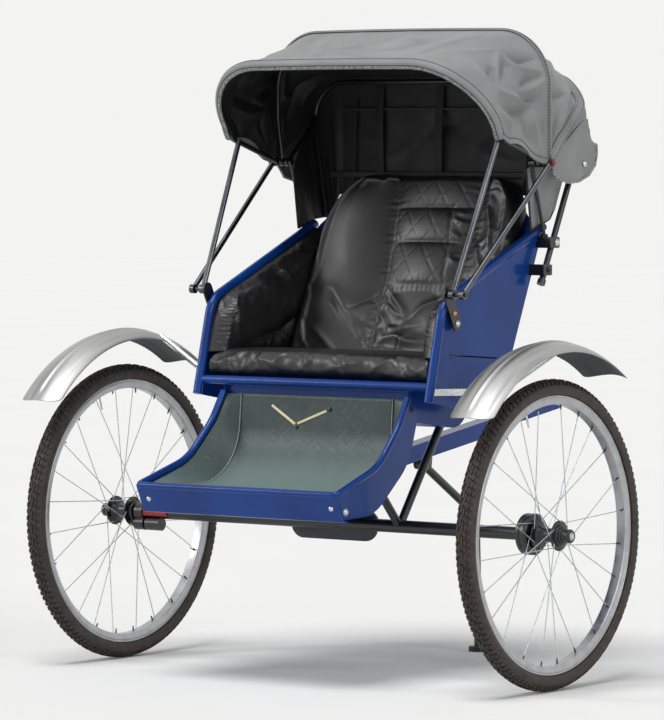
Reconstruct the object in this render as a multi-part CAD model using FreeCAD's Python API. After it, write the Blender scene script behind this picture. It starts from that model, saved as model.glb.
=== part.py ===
import FreeCAD, Part
import math
import os
from FreeCAD import Vector

# Passenger unit of a cycle rickshaw: a two-wheeled tub with a folding hood,
# a footboard in front, and a boom behind that couples to the cycle.
# Millimetres. +Z is up, the passenger faces -Y, X runs across.
# Places below are measured along Y from the axle and along Z from a base line,
# which is the ground while the tyre has its standard size.
# The finished solids are moved so that the origin lies under the middle.

# Reach of the whole unit, before and behind the axle
FRONT_REACH = 371.0
BOOM_REACH = 960.0

# Wheels
AXLE_Z = 355.0
TYRE_SEAT_R = 318.0
TYRE_H = 37.0
TYRE_W = 46.0
RIM_DEPTH = 21.0
RIM_W = 30.0
RIM_NOSE_W = 24.0
RIM_FLANGE_DEPTH = 10.0
RIM_WALL = 2.5
HALF_TRACK = 618.0
SPOKES_PER_SIDE = 12
SPOKE_R = 1.1
SPOKE_SWEEP_DEG = 52.5
SPOKE_RIM_OFFSET = 4.0
SPOKE_CIRCLE_R = 31.0
SPOKE_HEAD_GAP = 1.2
HUB_BARREL_R = 18.0
HUB_FLANGE_R = 35.0
HUB_FLANGE_T = 4.0
HUB_FLANGE_X = 27.0
HUB_CAP_R = 14.0
HUB_CAP_L = 14.0
HUB_REACH_OUT = 62.0
HUB_REACH_IN = 40.0
DRUM_R = 48.0
DRUM_REACH_IN = 66.0

# Fits
RUNNING_FIT = 0.05
SEAT_GAP = 0.3
SOFT_GAP = 0.5

# Axle and the plate that carries the boom on it
AXLE_TUBE_R = 15.0
SPINDLE_R = 8.0
AXLE_SHOULDER_GAP = 1.0
PLATE_W = 250.0
PLATE_T = 6.0
PLATE_DROP = 41.0
PLATE_CORNER_R = 36.0

# Boom: a square sleeve and the coupling bar in it
BOOM_START = -70.0
BOOM_W = 40.0
BOOM_WALL = 3.0
BOOM_AXIS_Z = 454.0
BOOM_SLOPE_DEG = 8.35
BOOM_SLEEVE_END = 700.0
BOOM_BAR_H = 26.0
BOOM_BAR_W = 20.0
BOOM_PACKING_L = 90.0
BOOM_PIN_R = 6.0

# Frame legs between the axle and the tub
FRAME_LEG_X = 200.0
FRAME_TUBE_R = 10.0
FRAME_REAR_TOP = (170.0, 590.0)
FRAME_FRONT_TOP = (-105.0, 470.0)

# Tub
TUB_HALF_W = 335.0
EDGE_TUBE_R = 11.0
SHEET_T = 4.0
POST_FOOT = (-75.0, 650.0)
POST_HEAD = (-20.0, 872.0)
RAIL_END = (392.0, 1046.0)
POST_BEND_R = 70.0
BACK_LEAN_DEG = 24.0
SKIRT_REAR_Z = 604.0
SKIRT_HEEL_R = 75.0
RAIL_FLANGE_H = 26.0
RAIL_FLANGE_T = 3.0
RAIL_FLANGE_START_Y = 24.0
SLOT_START = (3.0, 756.0)
SLOT_END = (198.0, 742.0)
SLOT_H = 3.0
SEAT_RAIL = (-62.0, 684.0)
SEAT_RAIL_R = 10.0
SEAT_PAN_Z = 694.0
BACK_SHOULDER_Z = 1026.0
BACK_HEAD_Z = 1140.0
BACK_HEAD_HALF_W = 215.0
BACK_HEAD_R = 90.0
BOX_REAR_Y = 190.0
BOX_BOTTOM_Z = 572.0
BOX_FRONT_LIFT = 30.0
BOX_HEEL_R = 60.0
BOX_WALL = 3.0

# Footboard
FOOT_HALF_W_REAR = 262.0
FOOT_HALF_W_FRONT = 283.0
FOOT_SIDE_T = 5.0
FOOT_FLOOR_T = 3.0
FOOT_TOP_EDGE = [(-52.0, 673.0), (-104.0, 590.0), (-190.0, 505.0)]
RIM_START = (-62.0, 657.0)
FOOT_LOW_EDGE = [(-205.0, 398.0), (-60.0, 505.0), (-22.0, 610.0)]
FOOT_TOP_R = 160.0
FOOT_LOW_R = 150.0
FLOOR_BACK = (-46.0, 668.0)
FLOOR_BEND = (-66.0, 446.0)
FLOOR_FRONT_Z = 436.0
FLOOR_BEND_R = 150.0
MAT_T = 3.0
MAT_TOP_DROP = 14.0
RIM_TUBE_R = 8.0
RIM_TUBE_BEND_R = 12.0
LIP_TOP_Z = 460.0
LIP_FOOT = (-337.0, 389.0)
LIP_RETURN = 15.0
LIP_T = 4.0
SPLAY_START_Y = FOOT_LOW_EDGE[-1][0]

# Soft seat parts
CUSHION_FRONT_Y = -54.0
CUSHION_TOP_Z = 748.0
CUSHION_ROLL_R = 24.0
BACK_PAD_T = 54.0
BACK_PAD_HEAD_Z = 1166.0
BACK_PAD_HEAD_R = 110.0
BACK_PAD_HEAD_HALF_W = 200.0
ARM_PAD_T = 44.0
ARM_PAD_FRONT_Y = -48.0
ARM_PAD_HEAD_INSET = 6.0
ARM_PAD_HEAD_R = 45.0
ARM_PAD_LIFT = 1.5

# Mudguards
GUARD_CLEARANCE = 85.0
GUARD_W = 104.0
GUARD_DOME = 20.0
GUARD_T = 2.0
GUARD_BEAD_HALF_W = 6.0
GUARD_BEAD_H = 2.5
GUARD_FRONT_DEG = 40.0
GUARD_REAR_DEG = 54.0
STAY_R = 7.0
STAY_Y = 100.0
STAY_FOOT_Z = 640.0
STAY_FLANGE_R = 17.0
STAY_FLANGE_T = 4.0
STAY_TOP_INSET = 34.0
STAY_NECK_L = 30.0
STAY_BEND_R = 20.0

# Hood. All three bows turn about the knob, which two fixed struts hold on each side
BRACKET_PIN = (-18.0, 896.0)
BRACKET_FOOT = (17.0, 828.0)
BRACKET_STANDOFF = 9.5
BRACKET_T = 5.0
BRACKET_HALF_W = 16.0
BRACKET_PIN_R = 5.0
SPACER_R = 7.0
SPACER_PITCH = 27.0
KNOB = (318.0, 1196.0)
KNOB_PIN_R = 4.0
BOW_R = 6.0
BOW_STANDOFF = 57.0
BOW_EYE_R = 10.0
BOW_EYE_T = 10.0
BOW_EYE_PITCH = 15.0
BRACE_STANDOFF = 17.0
BRACE_R = 4.5
BRACE_FOOT_INSET = 14.0
BRACE_PAD_L = 20.0
BRACE_PAD_T = 6.0
STRUT_FOOT_STANDOFF = 44.5
STRUT_HEAD_STANDOFF = 14.0
STRUT_R = 6.5
STRUT_EYE_L = 12.0
LOW_EYE_R = 11.0
PIN_SHOW = 3.0
BRACE_EYE_L = 8.0
PROP_EYE_L = 13.0
FRONT_KNEE = (143.0, 1250.0)
FRONT_TOP = (8.0, 1422.0)
FRONT_CORNER_R = 170.0
MID_KNEE = (KNOB[0], 1300.0)
MID_TOP = (KNOB[0], 1496.0)
MID_CORNER_R = 122.0
MID_KNEE_R = 200.0
REAR_KNEE = (472.0, 1298.0)
REAR_TOP = (REAR_KNEE[0], 1391.0)
REAR_CORNER_R = 88.0
KNEE_R = 35.0
REAR_POST_STANDOFF = 31.0
REAR_POST_R = 7.5
REAR_POST_FOOT = (343.0, 922.0)
REAR_POST_TOP = (456.0, 1150.0)
CLAMP_LOW_Z = 945.0
CLAMP_HIGH_Z = 1009.0
CLAMP_HALF_H = 13.0
CLAMP_LAP = 16.0
CLAMP_WALL = 5.0
POST_CAP_L = 12.0
POST_CAP_LIP = 2.5
PROP_FOOT_STANDOFF = 15.5
PROP_HEAD_INSET = 15.0
PROP_R = 6.5
CLOTH_T = 4.0
CLOTH_GAP = 1.0
CLOTH_RIDGE_GAP = 3.0
HEM_LIFT = 18.0
REAR_HEM_DROP = 6.0
CURTAIN_HEM_Z = 1120.0
CURTAIN_LEAN = 0.117
CURTAIN_CORNER_R = 70.0
WING_STANDOFF = 4.0
WING_LIFT = 4.0
WING_FRONT_LOW_Y = 333.0
WING_FRONT_TOP = (312.0, 1180.0)
FLAP_T = 3.0
FLAP = [(338.0, 1186.0), (352.0, 1158.0), (400.0, 1149.0), (450.0, 1153.0), (494.0, 1170.0),
        (513.0, 1200.0), (513.0, 1244.0), (484.0, 1262.0)]
FLAP_R = 14.0
FLAP_FRONT_Y = 345.0

# Parking leg
LEG_R = 10.0
LEG_PIVOT = (375.0, 472.0)
LEG_ELBOW = (600.0, 335.0)
LEG_FOOT_Y = 612.0
LEG_BEND_R = 60.0
LEG_EYE_R = 13.0
LEG_EYE_HALF_W = 12.0
LEG_EAR_T = 5.0
LEG_EAR_FLARE = 6.0
LEG_PIN_R = 5.0
FOOT_PAD_R = 24.0
FOOT_PAD_T = 12.0

# Brake on the left end of the axle
BRAKE_COLLAR_R = 22.0
BRAKE_COLLAR_W = 24.0
BRAKE_HUB_GAP = 6.0
BRAKE_LUG_PITCH = 34.0
BRAKE_LUG_Y = -8.0
BRAKE_BRIDGE_T = 12.0
BRAKE_SLEEVE_L = 74.0
BRAKE_SLEEVE_H = 27.0
BRAKE_SLEEVE_D = 42.0
BRAKE_SLEEVE_RISE = 5.0
BRAKE_LUG_R = 16.0
BRAKE_LUG_LAP = 4.0
BRAKE_LUG_WIDTHS = (28.0, 42.0)

TYRE_R = TYRE_SEAT_R + TYRE_H
GROUND_Z = AXLE_Z - TYRE_R
ORIGIN_SHIFT = (FRONT_REACH - BOOM_REACH) / 2
GUARD_R = TYRE_R + GUARD_CLEARANCE
X_AXIS = Vector(1, 0, 0)
MID_PLANE = Vector(0, 0, 0)
BACK_LEAN = math.radians(BACK_LEAN_DEG)
SIDE_OUTER_X = TUB_HALF_W + SHEET_T / 2
SIDE_INNER_X = TUB_HALF_W - SHEET_T / 2
BRACKET_X = SIDE_OUTER_X + BRACKET_STANDOFF
BOW_HALF_W = TUB_HALF_W + BOW_STANDOFF
BRACE_X = TUB_HALF_W + BRACE_STANDOFF
REAR_POST_X = TUB_HALF_W + REAR_POST_STANDOFF
STRUT_X_LOW = BRACKET_X + STRUT_FOOT_STANDOFF
STRUT_X_TOP = BOW_HALF_W + STRUT_HEAD_STANDOFF
PROP_X_LOW = BRACKET_X + PROP_FOOT_STANDOFF
PROP_X_TOP = BOW_HALF_W - PROP_HEAD_INSET
WING_X = TUB_HALF_W + WING_STANDOFF
MID_HEM = (KNOB[0], KNOB[1] + HEM_LIFT)
REAR_HEM = (REAR_TOP[0], REAR_TOP[1] - REAR_CORNER_R - REAR_HEM_DROP)


def point(x, yz):
    return Vector(x, yz[0], yz[1])


def rounded_path(points, radii):
    """Edges along a line of points, with a tangent arc of the given radius at each inner point."""
    edges = []
    start = points[0]
    for before, corner, after, radius in zip(points, points[1:], points[2:], radii):
        into = (corner - before).normalize()
        out = (after - corner).normalize()
        turn = into.getAngle(out)
        if radius <= 0 or turn < 1e-4:
            edges.append(Part.LineSegment(start, corner).toShape())
            start = corner
            continue
        setback = radius * math.tan(turn / 2)
        arc_start = corner - into * setback
        arc_end = corner + out * setback
        bisector = (out - into).normalize()
        middle = corner + bisector * (radius / math.cos(turn / 2) - radius)
        if start.distanceToPoint(arc_start) > 1e-6:
            edges.append(Part.LineSegment(start, arc_start).toShape())
        edges.append(Part.Arc(arc_start, middle, arc_end).toShape())
        start = arc_end
    edges.append(Part.LineSegment(start, points[-1]).toShape())
    return edges


def rounded_outline(points, radii):
    """Closed wire through the points, each corner rounded by its own radius."""
    middle = (points[-1] + points[0]) * 0.5
    loop = [middle] + points + [middle]
    return Part.Wire(rounded_path(loop, radii))


def side_plate(outline, radii, x_from, thickness):
    """Plate in a plane of constant X, from x_from towards +X."""
    wire = rounded_outline([point(x_from, p) for p in outline], radii)
    return Part.Face(wire).extrude(Vector(thickness, 0, 0))


def tube_along(points, radii, outer_r):
    """Round bar along a path with rounded corners."""
    path = Part.Wire(rounded_path(points, radii))
    direction = (points[1] - points[0]).normalize()
    section = Part.Wire(Part.makeCircle(outer_r, points[0], direction))
    return path.makePipeShell([section], True, False)


def bar_between(a, b, radius):
    return Part.makeCylinder(radius, a.distanceToPoint(b), a, b - a)


def rail_z(y):
    """Height of the middle of the rail's tube."""
    slope = (RAIL_END[1] - POST_HEAD[1]) / (RAIL_END[0] - POST_HEAD[0])
    return POST_HEAD[1] + slope * (y - POST_HEAD[0])


def eye(x_mid, yz, outer_r, length):
    return Part.makeCylinder(outer_r, length, point(x_mid - length / 2, yz), X_AXIS)


def strip(points, radii, thickness, half_w):
    """Bent sheet: a profile in the YZ plane, thickened on its left, carried across X."""
    near = [point(-half_w, p) for p in points]
    normals = []
    for a, b in zip(near, near[1:]):
        run = (b - a).normalize()
        normals.append(Vector(0, -run.z, run.y))
    far = [near[0] + normals[0] * thickness]
    for here, n1, n2 in zip(near[1:], normals, normals[1:]):
        mitre = (n1 + n2).normalize()
        far.append(here + mitre * (thickness / mitre.dot(n1)))
    far.append(near[-1] + normals[-1] * thickness)
    far_radii = []
    for before, here, after, radius in zip(near, near[1:], near[2:], radii):
        left_turn = ((here - before).cross(after - here)).x > 0
        far_radii.append(radius - thickness if left_turn else radius + thickness)
    edges = rounded_path(near, radii)
    edges.append(Part.LineSegment(near[-1], far[-1]).toShape())
    edges.extend(rounded_path(far[::-1], far_radii[::-1]))
    edges.append(Part.LineSegment(far[0], near[0]).toShape())
    return Part.Face(Part.Wire(edges)).extrude(Vector(2 * half_w, 0, 0))


def ring(profile, x_mid, side=1):
    """Solid of revolution about the axle line; the profile lists (distance along X, radius)."""
    pts = [Vector(x_mid + side * dx, 0, AXLE_Z + r) for dx, r in profile]
    face = Part.Face(Part.makePolygon(pts + [pts[0]]))
    return face.revolve(Vector(0, 0, AXLE_Z), X_AXIS, 360)


def mirrored(shape):
    return shape.mirror(MID_PLANE, X_AXIS)


def both_sides(shape):
    return Part.makeCompound([shape, mirrored(shape)])


def largest(shape):
    return max(shape.Solids, key=lambda s: s.Volume)


# Wheels

def tyre(x_mid):
    """Round tyre section, cut flat where it sits on the rim."""
    section_r = TYRE_W / 2
    centre = Vector(x_mid, 0, AXLE_Z + TYRE_R - section_r)
    disc = Part.Face(Part.Wire(Part.makeCircle(section_r, centre, Vector(0, 1, 0))))
    keep = Part.makeBox(2 * TYRE_W, 2, TYRE_R, Vector(x_mid - TYRE_W, -1, AXLE_Z + TYRE_SEAT_R + SEAT_GAP))
    section = disc.common(keep).Faces[0]
    return section.revolve(Vector(0, 0, AXLE_Z), X_AXIS, 360)


def rim(x_mid):
    """Double-wall rim: a hollow box with straight brake walls and a narrower, nearly flat bridge."""

    def section(wall):
        side = RIM_W / 2 - wall
        nose = RIM_NOSE_W / 2 - wall
        top = TYRE_SEAT_R - wall
        waist = TYRE_SEAT_R - RIM_FLANGE_DEPTH
        bottom = TYRE_SEAT_R - RIM_DEPTH + wall
        return [(-side, top), (side, top), (side, waist), (nose, bottom), (-nose, bottom), (-side, waist)]

    return ring(section(0), x_mid).cut(ring(section(RIM_WALL), x_mid))


def hub(x_mid, side, with_drum):
    """Turned hub: two spoke flanges, an outer cap, and a brake drum inboard where it has one."""
    near = HUB_FLANGE_X - HUB_FLANGE_T / 2
    away = HUB_FLANGE_X + HUB_FLANGE_T / 2
    reach_in = DRUM_REACH_IN if with_drum else HUB_REACH_IN
    end_r = DRUM_R if with_drum else HUB_BARREL_R + 7
    neck_r = HUB_BARREL_R + 4
    bore_r = SPINDLE_R + RUNNING_FIT
    cap_in = HUB_REACH_OUT - HUB_CAP_L
    profile = [
        (-reach_in, bore_r), (-reach_in, end_r - 4), (-reach_in + 4, end_r), (-away - 6, end_r),
        (-away - 6, neck_r), (-away, neck_r), (-away, HUB_FLANGE_R), (-near, HUB_FLANGE_R),
        (-near, neck_r), (-near + 8, HUB_BARREL_R), (near - 8, HUB_BARREL_R), (near, neck_r),
        (near, HUB_FLANGE_R), (away, HUB_FLANGE_R), (away, neck_r + 4), (away + 7, neck_r + 2),
        (away + 9, HUB_BARREL_R), (cap_in, HUB_CAP_R + 1), (cap_in, HUB_CAP_R),
        (HUB_REACH_OUT - 1, HUB_CAP_R), (HUB_REACH_OUT, HUB_CAP_R - 1), (HUB_REACH_OUT, 0),
        (HUB_REACH_OUT - 8, 0), (HUB_REACH_OUT - 8, bore_r)]
    return ring(profile, x_mid, side)


def spokes(x_mid):
    """Crossed spokes; those on the outside of a flange lean one way and those inside it the other."""
    solids = []
    pitch = 360.0 / SPOKES_PER_SIDE
    reach_r = TYRE_SEAT_R - RIM_DEPTH - SEAT_GAP
    lift = HUB_FLANGE_T / 2 + SPOKE_R + SPOKE_HEAD_GAP
    for side in (-1, 1):
        for k in range(SPOKES_PER_SIDE):
            lean = 1 if k % 2 == 0 else -1
            hub_deg = k * pitch + (pitch if side > 0 else 0)
            a = math.radians(hub_deg)
            b = math.radians(hub_deg + lean * SPOKE_SWEEP_DEG)
            inner_x = x_mid + side * (HUB_FLANGE_X + lean * lift)
            inner = Vector(inner_x, SPOKE_CIRCLE_R * math.cos(a), AXLE_Z + SPOKE_CIRCLE_R * math.sin(a))
            outer_x = x_mid + side * SPOKE_RIM_OFFSET
            outer = Vector(outer_x, reach_r * math.cos(b), AXLE_Z + reach_r * math.sin(b))
            solids.append(bar_between(inner, outer, SPOKE_R))
    return Part.makeCompound(solids)


# Axle, boom and frame

def axle():
    """Tube with a turned spindle at each end, which stops just short of the hub cap."""
    left = -(HALF_TRACK - HUB_REACH_IN - AXLE_SHOULDER_GAP)
    right = HALF_TRACK - DRUM_REACH_IN - AXLE_SHOULDER_GAP
    tip = HALF_TRACK + HUB_REACH_OUT - 8 - AXLE_SHOULDER_GAP
    profile = [(-tip, 0), (-tip, SPINDLE_R), (left, SPINDLE_R), (left, AXLE_TUBE_R), (right, AXLE_TUBE_R),
               (right, SPINDLE_R), (tip, SPINDLE_R), (tip, 0)]
    return ring(profile, 0)


def along_boom(shape):
    """Turns a shape made along Y at the boom's height to the boom's slope."""
    shape.rotate(Vector(0, 0, BOOM_AXIS_Z), X_AXIS, BOOM_SLOPE_DEG)
    return shape


def boom_block(half_w, half_h, y_from, y_to):
    start = Vector(-half_w, y_from, BOOM_AXIS_Z - half_h)
    return along_boom(Part.makeBox(2 * half_w, y_to - y_from, 2 * half_h, start))


def boom_sleeve():
    half = BOOM_W / 2
    bore = half - BOOM_WALL
    hollow = boom_block(bore, bore, BOOM_START + BOOM_WALL, BOOM_SLEEVE_END)
    return boom_block(half, half, BOOM_START, BOOM_SLEEVE_END).cut(hollow)


def boom_bar():
    """Flat coupling bar with a round end and a pin hole, packed out where the sleeve grips it."""
    half_h = BOOM_BAR_H / 2
    end = (BOOM_REACH - half_h) / math.cos(math.radians(BOOM_SLOPE_DEG)) + half_h
    start = BOOM_SLEEVE_END - BOOM_PACKING_L
    outline = [(start, BOOM_AXIS_Z - half_h), (end, BOOM_AXIS_Z - half_h),
               (end, BOOM_AXIS_Z + half_h), (start, BOOM_AXIS_Z + half_h)]
    bar = side_plate(outline, [1, half_h - 0.01, half_h - 0.01, 1], -BOOM_BAR_W / 2, BOOM_BAR_W)
    bar = bar.cut(eye(0, (end - half_h, BOOM_AXIS_Z), BOOM_PIN_R, BOOM_BAR_W))
    bar = along_boom(bar)
    packing = BOOM_W / 2 - BOOM_WALL - SEAT_GAP
    return bar.fuse(boom_block(packing, packing, start, BOOM_SLEEVE_END - 4)).removeSplitter()


def axle_plate():
    """Upright plate behind the axle: its round lower corners hang below, and the boom sits in its top."""
    low = AXLE_Z - PLATE_DROP
    top = BOOM_AXIS_Z
    half = PLATE_W / 2
    y = AXLE_TUBE_R + SEAT_GAP
    shoulder = AXLE_Z + AXLE_TUBE_R
    corners = [Vector(half, y, low), Vector(half, y, shoulder), Vector(BOOM_W, y, top),
               Vector(-BOOM_W, y, top), Vector(-half, y, shoulder), Vector(-half, y, low)]
    wire = rounded_outline(corners, [PLATE_CORNER_R, 12, 8, 8, 12, PLATE_CORNER_R])
    plate = Part.Face(wire).extrude(Vector(0, PLATE_T, 0))
    return plate.cut(boom_block(BOOM_W / 2, BOOM_W / 2, BOOM_START, BOOM_SLEEVE_END))


def frame(axle_solid, box_solid, floor_solid):
    """Two pairs of legs that stand on the axle: one of each pair under the seat box, one under the floor."""
    foot = Vector(FRAME_LEG_X, 0, AXLE_Z)
    rear = bar_between(foot, point(FRAME_LEG_X, FRAME_REAR_TOP), FRAME_TUBE_R)
    front = bar_between(foot, point(FRAME_LEG_X, FRAME_FRONT_TOP), FRAME_TUBE_R)
    pair = rear.fuse(front)
    for solid in (axle_solid, box_solid, floor_solid):
        pair = pair.cut(solid)
    return both_sides(largest(pair))


# Tub

def back_plane_y(z, depth):
    """Where a plane lies at a height, depth in front of the tub's leaning back line."""
    return RAIL_END[0] - (RAIL_END[1] - z) * math.tan(BACK_LEAN) - depth / math.cos(BACK_LEAN)


def leaning_panel(depth, thickness, half_w, foot_z, shoulder_z, head_z, head_half_w, radii):
    """Panel parallel to the tub's back, with its rear face at the given depth and an arched head."""
    corners = [(-half_w, foot_z), (half_w, foot_z), (half_w, shoulder_z), (head_half_w, head_z),
               (-head_half_w, head_z), (-half_w, shoulder_z)]
    wire = rounded_outline([Vector(x, back_plane_y(z, depth), z) for x, z in corners], radii)
    return Part.Face(wire).extrude(Vector(0, -math.cos(BACK_LEAN), math.sin(BACK_LEAN)) * thickness)


def edge_tube(radius):
    """Tube that edges the tub: up the front post and back along the top of the side."""
    path = [point(TUB_HALF_W, POST_FOOT), point(TUB_HALF_W, POST_HEAD), point(TUB_HALF_W, RAIL_END)]
    return tube_along(path, [POST_BEND_R], radius)


def tub_side():
    """Side sheet of the tub, seated against its edge tube, with a rounded heel, a rail flange and a slot."""
    outline = [POST_FOOT, POST_HEAD, RAIL_END, (back_plane_y(SKIRT_REAR_Z, 0), SKIRT_REAR_Z)]
    plate = side_plate(outline, [20, POST_BEND_R, 1, SKIRT_HEEL_R], SIDE_INNER_X, SHEET_T)
    front = RAIL_FLANGE_START_Y
    rear = back_plane_y(RAIL_END[1] - RAIL_FLANGE_H, 0)
    band = [(front, rail_z(front)), RAIL_END, (rear, RAIL_END[1] - RAIL_FLANGE_H),
            (front, rail_z(front) - RAIL_FLANGE_H)]
    flange = side_plate(band, [1, 1, 1, 1], SIDE_OUTER_X - 1, RAIL_FLANGE_T + 1)
    half = SLOT_H / 2
    slot = [(SLOT_START[0], SLOT_START[1] + half), (SLOT_END[0], SLOT_END[1] + half),
            (SLOT_END[0], SLOT_END[1] - half), (SLOT_START[0], SLOT_START[1] - half)]
    cut = side_plate(slot, [1, 1, 1, 1], SIDE_INNER_X - SHEET_T, 3 * SHEET_T)
    return plate.fuse(flange).cut(cut).cut(edge_tube(EDGE_TUBE_R + SEAT_GAP / 10))


def tub_back(tubes):
    half = SIDE_INNER_X - SEAT_GAP
    foot_z = SEAT_PAN_Z - SHEET_T
    panel = leaning_panel(0, SHEET_T, half, foot_z, BACK_SHOULDER_Z, BACK_HEAD_Z, BACK_HEAD_HALF_W,
                          [2, 2, BACK_HEAD_R, BACK_HEAD_R, BACK_HEAD_R, BACK_HEAD_R])
    return panel.cut(tubes)


def seat_pan():
    """Flat sheet between the sides that the seat cushion lies on."""
    half = SIDE_INNER_X - SEAT_GAP
    front = SEAT_RAIL[0] + SEAT_RAIL_R + SEAT_GAP
    rear = back_plane_y(SEAT_PAN_Z - SHEET_T, SHEET_T) - SEAT_GAP
    return Part.makeBox(2 * half, rear - front, SHEET_T, Vector(-half, front, SEAT_PAN_Z - SHEET_T))


def seat_rail(tubes):
    half = SIDE_INNER_X - SEAT_GAP
    return bar_between(point(-half, SEAT_RAIL), point(half, SEAT_RAIL), SEAT_RAIL_R).cut(tubes)


def box_block(inset):
    """Block of the seat box, or of the space in it, with a rounded heel."""
    front = FLOOR_BACK[0] + FOOT_FLOOR_T + SEAT_GAP + inset
    rear = BOX_REAR_Y - inset
    top = SEAT_PAN_Z - SHEET_T - inset
    bottom = BOX_BOTTOM_Z + inset
    half = FOOT_HALF_W_REAR - SEAT_GAP - inset
    outline = [(front, top), (rear, top), (rear, bottom), (front, bottom + BOX_FRONT_LIFT)]
    return side_plate(outline, [1, 1, BOX_HEEL_R - inset, 10], -half, 2 * half)


def seat_box():
    return box_block(0).cut(box_block(BOX_WALL))


# Footboard

def lip_inner_y(z, gap):
    """Where the lip's sheet ends at a height, plus a gap behind it."""
    run = (LIP_FOOT[0] + FRONT_REACH) / (LIP_TOP_Z - LIP_FOOT[1])
    return -FRONT_REACH + run * (LIP_TOP_Z - z) + (LIP_T + gap) * math.hypot(1, run)


def between_cheeks(shape, gap):
    """Keeps what lies between the splayed cheeks."""
    rear_w = FOOT_HALF_W_REAR - gap
    front_w = FOOT_HALF_W_FRONT - gap
    plan = [Vector(-rear_w, 0, 0), Vector(rear_w, 0, 0), Vector(rear_w, SPLAY_START_Y, 0),
            Vector(front_w, -FRONT_REACH, 0), Vector(-front_w, -FRONT_REACH, 0),
            Vector(-rear_w, SPLAY_START_Y, 0)]
    prism = Part.Face(Part.makePolygon(plan + [plan[0]])).extrude(Vector(0, 0, SEAT_PAN_Z))
    return shape.common(prism)


def splay_deg():
    return math.degrees(math.atan2(FOOT_HALF_W_FRONT - FOOT_HALF_W_REAR, FRONT_REACH + SPLAY_START_Y))


def foot_rim(radius):
    """Tube that edges the footboard: forward along one cheek, across the lip and back along the other."""
    side = [point(FOOT_HALF_W_REAR + FOOT_SIDE_T / 2, p) for p in [RIM_START] + FOOT_TOP_EDGE[1:]]
    start = Vector(FOOT_HALF_W_REAR, SPLAY_START_Y, 0)
    turn = FreeCAD.Rotation(Vector(0, 0, 1), splay_deg())
    side = [start + turn.multVec(p - start) for p in side]
    corner = Vector(FOOT_HALF_W_FRONT + FOOT_SIDE_T / 2, RIM_TUBE_R - FRONT_REACH, LIP_TOP_Z - RIM_TUBE_R)
    half = side + [corner]
    path = half + [Vector(-p.x, p.y, p.z) for p in half[::-1]]
    bends = [FOOT_TOP_R, FOOT_TOP_R, RIM_TUBE_BEND_R]
    return tube_along(path, bends + bends[::-1], radius)


def foot_side(rim_space):
    """Curved cheek of the footboard, splayed a little outwards to the front, under its edge tube."""
    top_z = LIP_TOP_Z - LIP_T - 1
    low_z = LIP_FOOT[1] + LIP_T + 1
    outline = FOOT_TOP_EDGE + [(lip_inner_y(top_z, SEAT_GAP), top_z), (lip_inner_y(low_z, SEAT_GAP), low_z)]
    radii = [2, FOOT_TOP_R, FOOT_TOP_R, 2, 2, FOOT_LOW_R, FOOT_LOW_R, 2]
    plate = side_plate(outline + FOOT_LOW_EDGE, radii, FOOT_HALF_W_REAR, FOOT_SIDE_T)
    plate.rotate(Vector(FOOT_HALF_W_REAR, SPLAY_START_Y, 0), Vector(0, 0, 1), splay_deg())
    return largest(plate.cut(rim_space))


def foot_floor():
    """Floor sheet: down behind the legs, round a wide bend and forward to the lip."""
    front_y = lip_inner_y(FLOOR_FRONT_Z - FOOT_FLOOR_T, SEAT_GAP)
    path = [FLOOR_BACK, FLOOR_BEND, (front_y, FLOOR_FRONT_Z)]
    return between_cheeks(strip(path, [FLOOR_BEND_R], FOOT_FLOOR_T, FOOT_HALF_W_FRONT), SEAT_GAP)


def foot_mat():
    """Mat on the floor sheet, short of the lip and of the seat rail."""
    front_y = lip_inner_y(FLOOR_FRONT_Z, SEAT_GAP)
    back_z = FLOOR_BACK[1] - MAT_TOP_DROP
    lean = (FLOOR_BACK[0] - FLOOR_BEND[0]) / (FLOOR_BACK[1] - FLOOR_BEND[1])
    back = (FLOOR_BACK[0] - MAT_TOP_DROP * lean, back_z)
    path = [(front_y, FLOOR_FRONT_Z), FLOOR_BEND, back]
    return between_cheeks(strip(path, [FLOOR_BEND_R], MAT_T, FOOT_HALF_W_FRONT), 2 * SEAT_GAP)


def foot_lip(rim_space):
    """Lip across the front below the edge tube, with a return flange at its foot."""
    top_z = LIP_TOP_Z - RIM_TUBE_R
    top = (lip_inner_y(top_z, 0) - (lip_inner_y(top_z, 0) + FRONT_REACH) / 2, top_z)
    path = [top, LIP_FOOT, (LIP_FOOT[0] + LIP_RETURN, LIP_FOOT[1] - 2)]
    sheet = strip(path, [LIP_T + 1], LIP_T, FOOT_HALF_W_FRONT + FOOT_SIDE_T)
    return largest(sheet.cut(rim_space))


# Soft seat parts

def pad_front_y(z):
    return back_plane_y(z, SHEET_T + SOFT_GAP + BACK_PAD_T + SOFT_GAP)


def seat_cushion(tubes):
    """Seat cushion with a rolled front edge, filling the tub from side to side."""
    low = SEAT_PAN_Z + SEAT_GAP
    outline = [(CUSHION_FRONT_Y, low), (CUSHION_FRONT_Y, CUSHION_TOP_Z),
               (pad_front_y(CUSHION_TOP_Z), CUSHION_TOP_Z), (pad_front_y(low), low)]
    half = SIDE_INNER_X - SOFT_GAP
    return side_plate(outline, [10, CUSHION_ROLL_R, 6, 6], -half, 2 * half).cut(tubes)


def arm_inner_x():
    return SIDE_INNER_X - SOFT_GAP - ARM_PAD_T


def back_pad():
    half = arm_inner_x() - SOFT_GAP
    radii = [6, 6, BACK_PAD_HEAD_R, BACK_PAD_HEAD_R, BACK_PAD_HEAD_R, BACK_PAD_HEAD_R]
    return leaning_panel(SHEET_T + SOFT_GAP, BACK_PAD_T, half, SEAT_PAN_Z + SOFT_GAP, BACK_SHOULDER_Z,
                         BACK_PAD_HEAD_Z, BACK_PAD_HEAD_HALF_W, radii)


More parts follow.
